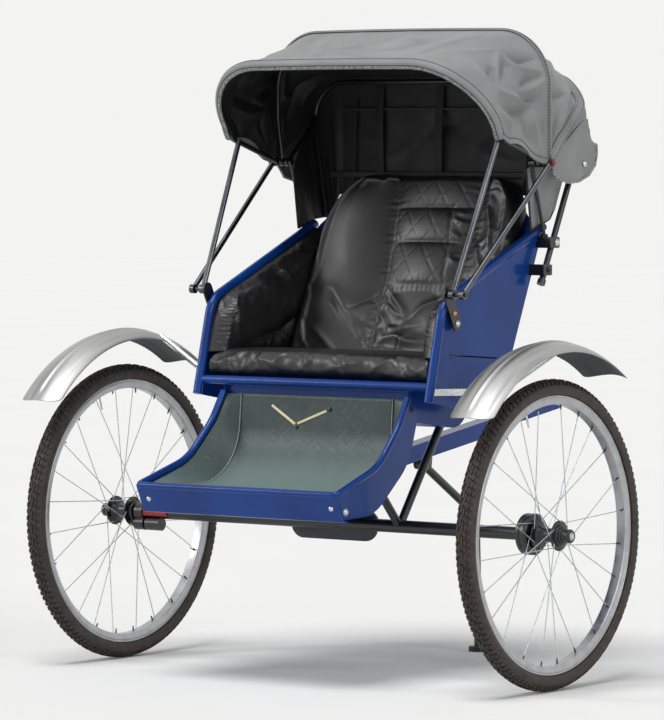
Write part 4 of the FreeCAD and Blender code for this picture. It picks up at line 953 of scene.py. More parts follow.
TOP_FOLDS = [
    ([(-210, 300, 1503), (-150, 180, 1478), (-40, 90, 1460), (90, 40, 1446)], 14, 4.5),
    ([(-250, 310, 1500), (-235, 220, 1478), (-150, 110, 1462), (-60, 60, 1452)], 20, -6.0),
    ([(40, 300, 1504), (-20, 210, 1488), (-90, 110, 1465)], 12, 3.5),
    ([(170, 305, 1503), (110, 200, 1482), (60, 120, 1466)], 16, -4.5),
    ([(250, 300, 1498), (200, 190, 1478), (180, 90, 1456)], 13, 4.0),
    ([(0, 320, 1504), (60, 240, 1494), (160, 215, 1488)], 12, 3.0),
]
print(len(SIDE_FOLDS), "folds on a side,", len(REAR_FOLDS), "behind and", len(TOP_FOLDS), "on top")

# %% [markdown]
# ## Stretches between the bows
#
# A straight blend between two arches is the start of each stretch. Then its feet move to the
# line of the hem, it sinks a little between the bows, and the folds are raised along its normal.

# %% A stretch of canopy
HEM = np.array([(128, 1256), (156, 1244), (187, 1244), (211, 1239), (230, 1229), (246, 1215), (268, 1204),
                (295, 1198), (318, 1197)], float)
ACROSS = np.linspace(-1, 1, 281)


def stretch(first, second, rows, sag, lines, hem=None):
    """A stretch of canopy between two arches.

    A straight blend of the two, less a hollow of 4 t (1 - t) times a sag that is deepest on the
    bends, with its feet moved to the hem's line, and with the folds raised along the normal."""
    t = np.linspace(0, 1, rows)
    points = first[:, None] * (1 - t)[None, :, None] + second[:, None] * t[None, :, None]
    a = np.abs(ACROSS)
    if hem is not None:
        foot_y = points[-1, :, 1]
        share = (foot_y - foot_y[0]) / (foot_y[-1] - foot_y[0])
        delta = read_off(share, np.linspace(0, 1, len(hem)), hem) - points[-1, :, 1:]
        points[..., 1:] += delta[None] * smooth((a - 0.6) / 0.4)[:, None, None]
    hollow = 4 * t * (1 - t) * (sag[0] + (sag[1] - sag[0]) * np.exp(-((a - 0.53) / 0.2) ** 2))[:, None]
    normal = grid_normals(points)
    ends = np.minimum(t, 1 - t) * np.linalg.norm(second - first, axis=-1)[:, None]
    free = smooth(ends / 22)
    return points + normal * ((folds(points, lines) * free) - hollow)[..., None]


def grid_area(grid):
    """Area of a grid in square metres: half the cross product of each face's diagonals, added up."""
    a, b = grid[1:, 1:] - grid[:-1, :-1], grid[1:, :-1] - grid[:-1, 1:]
    return float(np.linalg.norm(np.cross(a, b), axis=-1).sum() / 2e6)


front = arch_points(FRONT_ARCH, ACROSS, crown=5.0)
mid = arch_points(MID_ARCH, ACROSS, crown=4.0)
rear = arch_points(REAR_ARCH, ACROSS)
front_lines = scaled(SIDE_FOLDS, 2.1) + other_side(SIDE_FOLDS, 9, 1.6) + scaled(TOP_FOLDS, 2.0)
front_skin = stretch(front, mid, 81, (6.0, 11.0), front_lines, HEM)
rear_skin = stretch(mid, rear, 41, (4.0, 8.0), scaled(REAR_FOLDS, 2.2) + other_side(REAR_FOLDS, -6, 1.6))
print("hood skin spans z", round(front_skin[..., 2].min()), "to", round(front_skin[..., 2].max()))

# %% [markdown]
# Each stretch is sewn to two bows that turn by different amounts. So it isn't fixed to one body:
# its transform is baked into its points, and it rides on none.

# %% Front and rear stretches of the hood
def cloth_piece(name, grid, thickness=1.6, body=None):
    """A sheet of canvas on a grid, thickened inwards, with the lining on its back."""
    piece = make_piece(name, grid, grid_faces(*grid.shape[:2]), [HOOD_CANVAS, HOOD_LINING], body, "hood_cloth")
    walled(piece, thickness).material_offset = 1
    return piece


def sewn(name, parts, material, held_by, sharp_deg=None):
    """A closed trim of the hood, which rides on one body, or, when given two, rides on none and has its
    transform baked.
    """
    alone = isinstance(held_by, str)
    piece = closed_piece(name, parts, material, held_by if alone else None, "hood_cloth", sharp_deg)
    if not alone:
        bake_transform(piece)
    return piece


hood_front = cloth_piece("canopy_front", front_skin)
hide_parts("hood_front_panel")
FRONT_BLEND = ("hood_front", "hood_mid", metres((0, 143, 1250)).tolist(), metres((0, 275, 1354)).tolist())
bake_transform(hood_front)
hood_rear = cloth_piece("canopy_rear", rear_skin)
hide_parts("hood_rear_panel")
metres((0, 330, 1250)).tolist()
metres((0, 465, 1250)).tolist()
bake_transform(hood_rear)
for piece, grid in ((hood_front, front_skin), (hood_rear, rear_skin)):
    print(piece.name, "has", round(grid_area(grid), 3), "square metres")

# %% [markdown]
# ## Edges and seams
#
# A cut edge of canvas frays, so it is folded over and bound. Along the front there is a smooth
# roll round the bow and a woven tape under it, and the hems at the sides carry a folded band.
# Each is one section carried along the border of the skin, in the border's own directions: into
# the cloth and out of it. Stitches are short rods along the same lines.

# %% Front edge: roll, tape, groove and stitches
def stitches(path, length, radius, pitch=7.0):
    """Short rods in a row along a path, a stitch and a gap at a time."""
    path = np.asarray(path, float)
    total = np.linalg.norm(np.diff(path, axis=0), axis=1).sum()
    places = even_path(path, int(total / pitch) * 2 + 1)
    starts, ends = places[:-1:2], places[1::2]
    middle, half = (starts + ends) / 2, unit(ends - starts) * length / 2
    profile = [(0, radius * 0.6), (0.15, radius), (0.85, radius), (1, radius * 0.6)]
    return rods(middle - half, middle + half, profile, 6)


FORWARD = np.array([0.0, -0.7867, -0.6174])
ROLL = [(-0.6, -9), (0.9, -9), (1.4, -2), (0.9, 3), (-0.6, 6.4), (-3.0, 8.6), (-7.6, 9.4), (-7.6, 8.0),
        (-3.8, 7.2), (-1.9, 5.2), (-0.7, 2.4)]
TAPE = [(-8.4, 8.2), (-8.8, 9.9), (-10, 10.7), (-12, 11.0), (-14, 11.0), (-16, 10.9), (-17.4, 10.3), (-18, 9.0),
        (-17.6, 7.8), (-13, 7.4)]
GROOVE = [(-9.4, 8.0), (-9.2, 9.6), (-7.8, 9.9), (-6.6, 9.6), (-6.4, 8.0)]
TAPE_STEPS, TAPE_WOBBLE = 1121, 0.28
WOBBLE_SHARE = np.array([0, 0.6, 1, 1, 1, 1, 1, 0.8, 0.4, 0])

lip = front_skin[:, 0]
lip_out = unit(arch_points(FRONT_ARCH, ACROSS, CLOTH_OUT + 1) - arch_points(FRONT_ARCH, ACROSS, CLOTH_OUT))
forward = same(FORWARD, lip)
sewn("front_roll", [banded(lip, lip_out, forward, ROLL)], HOOD_CANVAS, "hood_front", 50)
at, here = np.linspace(0, 1, TAPE_STEPS), np.linspace(0, 1, len(lip))
edge = read_off(at, here, lip)
tape, faces = banded(edge, unit(read_off(at, here, lip_out)), same(FORWARD, edge), TAPE)
wobble = RNG.normal(0, 1, (TAPE_STEPS, len(TAPE)))
wobble = (wobble + np.roll(wobble, 1, 0)) * TAPE_WOBBLE * WOBBLE_SHARE
tape = tape.reshape(TAPE_STEPS, len(TAPE), 3) + wobble[..., None] * FORWARD
sewn("front_tape", [(tape, faces)], BINDING, "hood_front")
sewn("front_groove", [banded(lip, lip_out, forward, GROOVE)], BLACK_THREAD, "hood_front")
row = stitches(lip + 1.35 * lip_out - 5.0 * forward, 5.0, 1.1)
sewn("front_stitches", [row], BLACK_THREAD, "hood_front")
print(TAPE_STEPS, "steps of tape and", len(row[1]) // 20, "stitches along the front")

# %% [markdown]
# Each side hem is a band folded over the border, with one row of stitches near its inner edge.

# %% Hems at the sides
HEM_SECTION = [(-2.3, -1.0), (-2.4, 0.6), (-1.2, 1.8), (1.0, 2.2), (11.4, 1.9), (12.6, 1.2), (12.8, 0.2),
               (12.6, -2.2), (0, -3.2), (-1.6, -2.4)]
normals = grid_normals(front_skin)
bands, threads = [], []
for edge, inner in ((0, 5), (-1, -6)):
    border, up = front_skin[edge], normals[edge]
    into = unit(front_skin[inner] - border)
    bands.append(banded(border, into, up, HEM_SECTION))
    threads.append(stitches(border + 10.6 * into + 2.3 * up, 5.0, 1.0))
sewn("front_hems", bands, HOOD_CANVAS, FRONT_BLEND, 50)
sewn("hem_stitches", threads, BLACK_THREAD, FRONT_BLEND)
print(sum(len(faces) for _, faces in threads) // 20, "stitches in the two hems")

# %% [markdown]
# The welt lies along the ridge where the stretches meet. Its width runs backwards and its
# height runs out, halfway between the normals of the two stretches.

# %% Seam over the middle bow
def upright_to(direction, run):
    """The part of a direction that is square to a run, made one long."""
    return unit(direction - (direction * run).sum(-1, keepdims=True) * run)


WELT = [(-9, -1.6), (-8.6, 0.8), (-7.4, 1.7), (-3.2, 2.1), (-1.6, 1.4), (0, 2.4), (2.4, 3.2), (4.6, 2.6),
        (5.4, 0.8), (5.6, -1.6)]
ridge, ridge_up = front_skin[:, -1], unit(normals[:, -1] + grid_normals(rear_skin)[:, 0])
ridge_on = upright_to(same((0, 1, 0), ridge), ridge_up)
sewn("mid_seam", [banded(ridge, ridge_on, ridge_up, WELT)], HOOD_CANVAS, "hood_mid", 40)
rows = [stitches(ridge - 1.6 * ridge_on + 1.9 * ridge_up, 5.4, 1.3),
        stitches(ridge - 7.0 * ridge_on + 2.1 * ridge_up, 5.0, 1.0)]
sewn("mid_stitches", rows, BLACK_THREAD, "hood_mid")
print("the seam is", round(np.linalg.norm(np.diff(ridge, axis=0), axis=1).sum()), "mm long")

# %% [markdown]
# ## Strips and flaps behind the knob
#
# From each knob a double strip of canvas runs up the arm of the rear bow and over its arch. A
# flap hangs below it with a corded edge and a snap fastener, which holds the hood when it is
# folded down.

# %% Sleeve strip
STRIP_LINE = [(316, 1201), (334, 1218), (353, 1236), (388, 1270), (424, 1303), (446, 1325), (460, 1340)]
STRIP_TOP_COL = 36
STRIP = [(-13, -1.2), (-13, 1.6), (-12, 2.4), (-10.8, 2.4), (-10.2, 1.3), (-1.2, 1.3), (-0.6, 2.2), (0.6, 2.2),
         (1.2, 1.3), (10.2, 1.3), (10.8, 2.4), (12, 2.4), (13, 1.6), (13, -1.2)]


def eased(values, reach=4):
    """A running mean along the first axis, whose ends stay."""
    kernel = np.ones(2 * reach + 1) / (2 * reach + 1)
    wide = np.concatenate([np.repeat(values[:1], reach, 0), values, np.repeat(values[-1:], reach, 0)])
    return np.stack([np.convolve(wide[:, k], kernel, "valid") for k in range(3)], -1)


def on_skin(skin, places):
    """The nearest points of a skin's side to places given in Y and Z, with the skin's normals there."""
    flat, up = skin.reshape(-1, 3), grid_normals(skin).reshape(-1, 3)
    near = ((flat[None, :, 1:] - places[:, None]) ** 2).sum(-1).argmin(1)
    return np.column_stack([flat[near, 0], places]), up[near]


side_line = even_path(STRIP_LINE, 26)
half = len(ACROSS) // 2
over = slice(half - 96, half + 97)
low_left, up_left = on_skin(rear_skin[:half - 40], side_line)
low_right, up_right = on_skin(rear_skin[half + 41:], side_line)
strip = np.concatenate([low_left, rear_skin[over, STRIP_TOP_COL], low_right[::-1]])
up = np.concatenate([up_left, grid_normals(rear_skin)[over, STRIP_TOP_COL], up_right[::-1]])
strip, up = eased(even_path(eased(strip, 2), 240), 3), eased(eased(up))
up = unit(read_off(np.linspace(0, 1, len(strip)), np.linspace(0, 1, len(up)), up))
run = unit(np.gradient(strip, axis=0))
up = upright_to(up, run)
strip = strip + up * 3.4
sideways = np.cross(run, up)
sewn("sleeve_strip", [banded(strip, sideways, up, STRIP)], HOOD_CANVAS, "hood_rear", 40)
rows = [stitches(strip + sideways * v + up * 1.5, 4.2, 0.6, 6.5) for v in (-8.6, 8.6)]
sewn("sleeve_stitches", rows, BLACK_THREAD, "hood_rear")
print("the strip has", len(strip), "steps")

# %% [markdown]
# The flap is stretched from its top line to its low line. Two soft waves, sines of a mix of the
# two places, grow towards the low line.

# %% Flaps, cords and snaps
FLAP_TOP = even_path([(326, 1204), (372, 1237), (420, 1269), (462, 1297), (482, 1300), (488, 1270), (498, 1250),
                      (512, 1242)], 81)
FLAP_LOW = even_path([(329, 1191), (340, 1176), (355, 1160), (397, 1150), (445, 1153), (486, 1167), (509, 1190),
                      (514, 1216), (514, 1238)], 81)
SNAP = [(0, 0.05), (3.4, 0.05), (3.2, 2.4), (2.2, 3.6), (2.6, 4.4), (2.2, 6.2), (0.6, 7.0), (0, 7.0)]


def flap_grid():
    """Flap from its top line to its low line, with two waves that grow as the share down to the power 1.3."""
    v = np.linspace(0, 1, 25)[:, None, None]
    yz = FLAP_TOP[None] * (1 - v) + FLAP_LOW[None] * v
    wave = 2.2 * np.sin(yz[..., 0] / 21 + yz[..., 1] / 60) + 1.2 * np.sin(yz[..., 0] / 9.5 - yz[..., 1] / 17)
    return np.stack([402.6 + 1.2 * v[..., 0] + wave * v[..., 0] ** 1.3, yz[..., 0], yz[..., 1]], -1)


flap = flap_grid()
rim_line = np.concatenate([flap[:, 0], flap[-1, 1:], flap[::-1, -1][1:]])
for side_name, side in SIDES:
    mirror = np.array([side, 1.0, 1.0])
    sheet = (flap if side > 0 else flap[:, ::-1]) * mirror
    cloth = cloth_piece("hood_flap_" + side_name, sheet, 1.8, "hood_rear")
    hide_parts("hood_flaps")
    edge = swept(even_path(rim_line * mirror, 180), circle_section(3.0, 10), (1, 0, 0))
    cord = sewn("flap_cord_" + side_name, [edge], BINDING, "hood_rear")
    stud = turned(SNAP, side * 404.5, side, 28, (465, 1193))
    snap = closed_piece("flap_snap_" + side_name, [stud], BRIGHT_STEEL, "hood_rear", "bright_steel", 35)
print("one flap has", round(grid_area(flap), 4), "square metres")

# %% [markdown]
# ## Back curtain
#
# Behind the passenger's head a curtain hangs from the rear bow, and turns forward at each side
# into a wing that ends on the rail. Seen from above it is a U, and from every point of that U a
# line runs from the hem up to the bow. Soft upright waves grow towards the hem.

# %% Curtain
CURTAIN_HALF_W, CURTAIN_CORNER = 341.0, 0.7
CURTAIN_COLS, CURTAIN_ROWS = 241, 61
WING_TOP = [(479, 1294), (430, 1262), (380, 1229), (340, 1203), (312, 1180)]
WING_LOW = {-1: [(439, 1063), (430, 1062), (400, 1059), (372, 1050), (333, 1036)],
            1: [(439, 1120), (432, 1090), (412, 1064), (372, 1050), (333, 1036)]}
CURTAIN_FOLDS = [
    ([(341, 455, 1270), (341, 420, 1215), (341, 392, 1165), (341, 380, 1110)], 14, 7.0),
    ([(341, 400, 1245), (341, 382, 1190), (341, 362, 1130), (341, 352, 1080)], 12, -6.0),
    ([(341, 360, 1205), (341, 350, 1150), (341, 342, 1090)], 11, 5.0),
    ([(300, 460, 1300), (240, 456, 1260), (170, 452, 1235)], 14, -5.0),
    ([(-60, 462, 1300), (30, 458, 1280), (90, 455, 1230)], 18, 5.0),
    ([(60, 460, 1260), (130, 455, 1215), (220, 450, 1195)], 14, -5.0),
    ([(-150, 460, 1290), (-110, 456, 1240), (-90, 452, 1190)], 14, 4.0),
]


def curtain_edges(s):
    """Hem and top of the curtain at shares from -1 to 1 round the U, both as if on the right.

    Between the corners they are a level hem, lower on the left, and the arch of the bow. On the
    wings they are read off two lines in Y and Z."""
    u = np.clip(np.abs(s) / CURTAIN_CORNER, 0, 1)
    w = np.clip((np.abs(s) - CURTAIN_CORNER) / (1 - CURTAIN_CORNER), 0, 1)
    wing, at = np.abs(s) > CURTAIN_CORNER, np.linspace(0, 1, 101)
    low_x = np.interp(u, (0, TOP_END, BEND_END, 1), (0, 285, 325, CURTAIN_HALF_W))
    low_z = 1120.0 - np.where(s < 0, 57 * smooth((u - 0.4) / 0.35), 0)
    low = np.stack([low_x, np.full(s.shape, 439.0), low_z], -1)
    top = arch_points(REAR_ARCH, u, 10.0)
    top[:, 1] = 479.5
    for side, path in WING_LOW.items():
        here = wing & (np.sign(s) == side)
        low[here, 1:] = read_off(w, at, even_path(path, 101))[here]
    top[wing, 0] = (CURTAIN_HALF_W + (top[:, 0] - CURTAIN_HALF_W) * (1 - w) ** 0.8)[wing]
    top[wing, 1:] = read_off(w, at, even_path(WING_TOP, 101))[wing]
    return low, top


def curtain_grid():
    """Grid of the curtain: rows from hem to bow, columns round the U.

    Each column is a straight line from hem to top, moved out by three sines of the run that grow
    towards the hem, a belly of 4 mm, and the folds."""
    s = np.linspace(-1, 1, CURTAIN_COLS)
    low, top = curtain_edges(s)
    v = np.linspace(0, 1, CURTAIN_ROWS)[:, None]
    points = low * (1 - v[..., None]) + top * v[..., None]
    points[..., 0] *= np.sign(s)
    turn_ = smooth((np.abs(s) - CURTAIN_CORNER + 0.05) / 0.1)
    out = unit(np.stack([np.sign(s) * turn_, 1 - turn_, np.zeros(s.shape)], -1))
    run = s * 560
    wave = 3.2 * np.sin(run / 23 + 0.8) + 2.2 * np.sin(run / 12.5) + 1.4 * np.sin(run / 7.7 + 2)
    sag = 4 * np.sin(np.pi * v) * np.cos(np.pi / 2 * np.clip(np.abs(s) / CURTAIN_CORNER, 0, 1))
    lines = CURTAIN_FOLDS + other_side(CURTAIN_FOLDS, 4, 0.8)
    lift = wave * (1 - v) ** 0.8 * smooth(v / 0.02 + 0.2) + sag + folds(points, lines)
    points = points + out * (lift * smooth((1 - v) / 0.08))[..., None]
    seam = arch_points(REAR_ARCH, s / CURTAIN_CORNER, CLOTH_OUT)
    points[-1] = np.where(np.abs(s)[:, None] > CURTAIN_CORNER, points[-1], seam)
    return points


# %% [markdown]
# The curtain hangs from the rear bow and is fastened to the tub. Its transform is baked into its
# points, and it rides on no body.

curtain = curtain_grid()
back_curtain = cloth_piece("back_curtain", curtain)
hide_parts("hood_curtain")
CURTAIN_BLEND = ("body", "hood_rear", metres((0, 400, 1130)).tolist(), metres((0, 470, 1375)).tolist())
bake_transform(back_curtain)
print("curtain has", round(grid_area(curtain), 3), "square metres")

# %% [markdown]
# Two straps of webbing hang in front of the curtain, and welts sewn to it mark its panel. They
# follow a plane a few millimetres in front of the cloth.

# %% Straps, welts and hem of the curtain
STRAP = [(-11, -1), (-11, 1), (-8, 1.8), (8, 1.8), (11, 1), (11, -1)]
THIN_WELT = [(-3, -1), (-2.2, 1.4), (0, 2.0), (2.2, 1.4), (3, -1)]


def on_curtain(x, z, lift, section, along=(1, 0, 0)):
    """A section along a path in front of the curtain's panel, given by its X and Z."""
    x, z = np.broadcast_arrays(np.asarray(x, float), np.asarray(z, float))
    path = np.stack([x, 439.0 + (z - 1120.0) * 0.1435 - lift, z], -1)
    return banded(path, same(along, path), same((0, -1, 0), path), section)


straps, welts = [], []
z = np.linspace(1378, 1150, 40)
for top_x, low_x in ((-193, -168), (-14, 2)):
    x = np.interp(z, (1150, 1378), (low_x, top_x))
    straps.append(on_curtain(x, z, 7 + 5 * np.sin((1378 - z) / 228 * np.pi), STRAP))
for level, half, wide in ((1325.0, 300, 1.0), (1166.0, 322, 2.6)):
    welts.append(on_curtain(np.linspace(-half, half, 80), level, 8.0, THIN_WELT, (0, 0, wide)))
z = np.linspace(1350, 1140, 40)
for x in (-262.0, 262.0):
    welts.append(on_curtain(x + (1350 - z) * np.sign(x) * -0.06, z, 8.0, THIN_WELT))
hem_path = np.concatenate([curtain[:, 0][::-1], curtain[0], curtain[:, -1]])
hem = swept(even_path(hem_path, 420), circle_section(2.6, 8), (0.13, 0.2, 1))
straps = sewn("curtain_straps", straps, WEBBING, CURTAIN_BLEND, 40)
welts = sewn("curtain_welts", welts, HOOD_LINING, CURTAIN_BLEND, 40)
hem_cord = sewn("curtain_hem", [hem], WEBBING, CURTAIN_BLEND)
print("the curtain's hem runs", round(np.linalg.norm(np.diff(hem_path, axis=0), axis=1).sum()), "mm")

# %% [markdown]
# ## Upholstery that puffs
#
# Each pad starts as a grid with its seams on grid lines, already near its final form: a flat
# plane, lifted to a soft pillow between the seams. Then Blender's cloth solver inflates it a
# little, with the seams and the hidden edges pinned and the leatherette a percent or two too
# large for the foam, as it is cut in a workshop. That spare cloth is what makes the wrinkles. A cap
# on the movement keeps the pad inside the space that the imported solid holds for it.

# %% The cloth solver as a function
SETTLE_FRAMES, STIFFNESS, BENDING = 22, 12.0, 0.25


def puffed(points, faces, pinned, pressure, spare, cap):
    """Points after the solver has inflated the surface; none moves by more than the cap, in millimetres."""
    flat = points.reshape(-1, 3)
    mesh = bpy.data.meshes.new("settling")
    mesh.from_pydata((flat / 1000).tolist(), [], [list(map(int, f)) for f in faces])
    blank = bpy.data.objects.new("settling", mesh)
    bpy.context.collection.objects.link(blank)
    held = blank.vertex_groups.new(name="held")
    held.add(np.flatnonzero(pinned.reshape(-1)).tolist(), 1.0, "REPLACE")
    cloth = blank.modifiers.new("cloth", "CLOTH")
    rules = cloth.settings
    rules.quality, rules.mass, rules.air_damping = 6, 0.25, 2.0
    rules.tension_stiffness = rules.compression_stiffness = STIFFNESS
    rules.shear_stiffness, rules.bending_stiffness = STIFFNESS / 2, BENDING
    rules.vertex_group_mass, rules.pin_stiffness = "held", 1.0
    rules.use_pressure, rules.uniform_pressure_force = True, pressure
    rules.shrink_min = -spare
    rules.effector_weights.gravity = 0.0
    cloth.collision_settings.use_collision = False
    cloth.point_cache.frame_start, cloth.point_cache.frame_end = 1, SETTLE_FRAMES
    scene = bpy.context.scene
    for step in range(1, SETTLE_FRAMES + 1):
        scene.frame_set(step)
    settled = blank.evaluated_get(bpy.context.evaluated_depsgraph_get()).data
    after = np.empty(len(flat) * 3)
    settled.vertices.foreach_get("co", after)
    bpy.data.objects.remove(blank)
    scene.frame_set(1)
    move = after.reshape(-1, 3) * 1000 - flat
    length = np.linalg.norm(move, axis=1, keepdims=True)
    move *= np.minimum(1, cap / np.maximum(length, 1e-9))
    print("settled: mean move", round(float(length.mean()), 1), "mm, most", round(float(length.max()), 1))
    return (flat + move).reshape(points.shape)


def edges_held(shape):
    """Which points of a grid are pinned when its whole border is."""
    held = np.zeros(shape, bool)
    held[[0, -1], :] = held[:, [0, -1]] = True
    return held


# %% [markdown]
# A pad is a front grid and a back grid joined round their borders. Its edges are rounded, and
# beside each seam the loose cover gathers into small puckers.

# %% Puckers, rounded edges and closed pads
def puckers(points, line, reach, height, pitch, seed):
    """Small gathers on both sides of a seam.

    Three sines along the seam, at uneven pitches and starts, that swell and fade in turn. They die
    away as e to the power of minus the distance over the reach, and are nothing on the seam."""
    line = np.asarray(line, float)
    gap, share = along_line(points, line)
    s = share * np.linalg.norm(np.diff(line, axis=0), axis=1).sum()
    rng = np.random.default_rng(seed)
    wave = np.zeros(s.shape)
    for k, part in enumerate((1.0, 0.62, 1.7)):
        wave += np.sin(2 * np.pi * s * part / pitch + rng.uniform(0, 6.3)) / (1 + k * 0.6)
    swell = 0.6 + 0.4 * np.sin(2 * np.pi * s / (pitch * 5.3) + rng.uniform(0, 6.3))
    return height * wave * swell * np.exp(-gap / reach) * gap / (gap + 2.0)


def edge_round(gap, radius):
    """Quarter circle from 0 at an edge to 1 a radius in: the root of one less the square of what is left."""
    return np.sqrt(np.clip(1 - (1 - np.clip(gap / radius, 0, 1)) ** 2, 0, 1))


def closed_shell(front, back):
    """A front grid and a back grid of the same size, joined round their borders into one closed skin."""
    rows, cols = front.shape[:2]
    faces, count = grid_faces(rows, cols), rows * cols
    border = np.concatenate([np.arange(cols), np.arange(1, rows) * cols + cols - 1,
                             (rows - 1) * cols + np.arange(cols - 2, -1, -1),
                             np.arange(rows - 2, 0, -1) * cols])
    after = np.roll(border, -1)
    sides = np.stack([after, border, border + count, after + count], -1)
    points = np.concatenate([front.reshape(-1, 3), back.reshape(-1, 3)])
    return points, np.concatenate([faces, faces[:, ::-1] + count, sides]).tolist()


def pad_piece(name, front, back):
    """The closed pad as a piece with one level of subdivision."""
    piece = make_piece(name, *closed_shell(front, back), LEATHERETTE, "body", "leatherette", outward=True)
    fine = piece.modifiers.new("fine", "SUBSURF")
    fine.levels = fine.render_levels = 1
    return piece


# %% [markdown]
# ## Back pad
#
# The back is sewn from a smooth bolster on each side and a quilted column between them. Three
# cross seams make pillows of the column, and under the lowest the leatherette is loose and
# falls in heavy folds. The seams below were read off the pad's front plane, as X and Z.

# %% Seams and folds of the back pad
LEAN = math.radians(24.0)
RAIL_END = (392.0, 1046.0)
PAD_DEPTH, PAD_TOP_Z, PAD_HALF_W = 58.5, 1178.0, 288
SEAM_LEFT = np.array([(-78, 1166), (-73, 1147), (-66, 1106), (-60, 1055), (-52, 1010), (-48, 960), (-44, 918),
                      (-48, 864), (-45, 808), (-42, 773), (-38, 745), (-36, 690)], float)
SEAM_RIGHT = np.array([(186, 1166), (181, 1152), (173, 1085), (168, 1013), (165, 950), (162, 900), (160, 840),
                       (158, 760), (156, 690)], float)
CROSS_Z = (914.0, 1013.0, 1094.0)
BACK_FOLDS = [
    ([(-125, 850), (-88, 873), (-40, 895)], 13, -7.0),
    ([(-224, 899), (-182, 894), (-137, 853), (-102, 829), (-52, 812)], 14, 6.0),
    ([(-215, 872), (-165, 850), (-128, 812), (-80, 770)], 20, -6.0),
    ([(-222, 807), (-181, 780), (-140, 752), (-120, 735)], 9, 5.0),
    ([(-115, 822), (-72, 785), (-40, 755)], 9, 4.0),
    ([(-174, 868), (-122, 806), (-69, 754)], 8, 3.5),
    ([(-40, 871), (12, 844), (51, 830)], 8, 6.0),
    ([(-44, 846), (-1, 809), (22, 812), (41, 825)], 8, 6.5),
    ([(-42, 805), (-9, 787), (29, 791), (60, 779), (125, 777)], 8, 7.5),
    ([(47, 790), (42, 765), (36, 742)], 8, 5.0),
    ([(-40, 905), (4, 869), (47, 836)], 7, 6.0),
    ([(52, 828), (84, 861), (119, 876), (158, 884)], 8, 6.0),
    ([(-25, 822), (45, 813), (105, 822)], 12, -6.0),
    ([(-25, 772), (37, 764), (115, 757)], 12, -5.0),
    ([(-24, 874), (5, 853), (25, 842)], 8, -4.0),
    ([(60, 805), (110, 800), (150, 812)], 10, -5.0),
    ([(112, 1085), (144, 1078), (173, 1087)], 7, 4.0),
    ([(112, 1067), (140, 1056), (168, 1049)], 7, 4.0),
    ([(107, 1037), (143, 1020), (170, 1034)], 7, 4.0),
    ([(120, 985), (140, 965), (162, 958)], 8, 4.0),
    ([(200, 1100), (225, 1040), (240, 980)], 12, 5.0),
    ([(190, 1010), (215, 960), (250, 930)], 10, 5.0),
    ([(185, 930), (215, 900), (255, 880)], 10, -5.0),
    ([(180, 860), (215, 830), (262, 822)], 10, 5.0),
]
QUARTER_TURN = np.pi / 2
ROW_Z = np.concatenate([np.linspace(696, 914, 45), np.linspace(914, 1013, 21)[1:],
                        np.linspace(1013, 1094, 18)[1:],
                        1094 + 68 * np.sin(np.linspace(0, QUARTER_TURN, 20)[1:] * 0.78)
                        / np.sin(QUARTER_TURN * 0.78),
                        1162 + 16 * np.sin(np.linspace(0, QUARTER_TURN, 9)[1:])])
SPAN_COLS = (42, 42, 26)
SEAM_COLS = [0, *np.cumsum(SPAN_COLS).tolist()]
QUILT_LOW_Z, QUILT_TOP_Z = CROSS_Z[0], 1150
print(len(ROW_Z), "rows, with the seams on columns", SEAM_COLS)

# %% [markdown]
# The lift out of the front plane is a pillow between each pair of seams: the sine of half a turn
# across to the power 0.6 and, in the column, of half a turn up to the power 0.5. The folds and
# puckers are added to it. Then it is rounded off at the outline of the pad.

# %% Grid of the back pad
def on_back_plane(x, z, lift):
    """A point on the back pad's front plane, moved out of it by a lift."""
    y = RAIL_END[0] - (RAIL_END[1] - z) * math.tan(LEAN) - PAD_DEPTH / math.cos(LEAN)
    return np.stack([x, y - math.cos(LEAN) * lift, z + math.sin(LEAN) * lift], -1)


def back_outline(z, shoulder):
    """Half width of the pad at a height: straight sides, then a quarter circle over the shoulder."""
    over = np.clip(z - PAD_TOP_Z + shoulder, 0, shoulder)
    return PAD_HALF_W - shoulder + np.sqrt(np.clip(shoulder ** 2 - over ** 2, 0, None))


def side_by_side(grids):
    """Grids joined along the columns that they share."""
    return np.concatenate([grids[0]] + [grid[:, 1:] for grid in grids[1:]], 1)


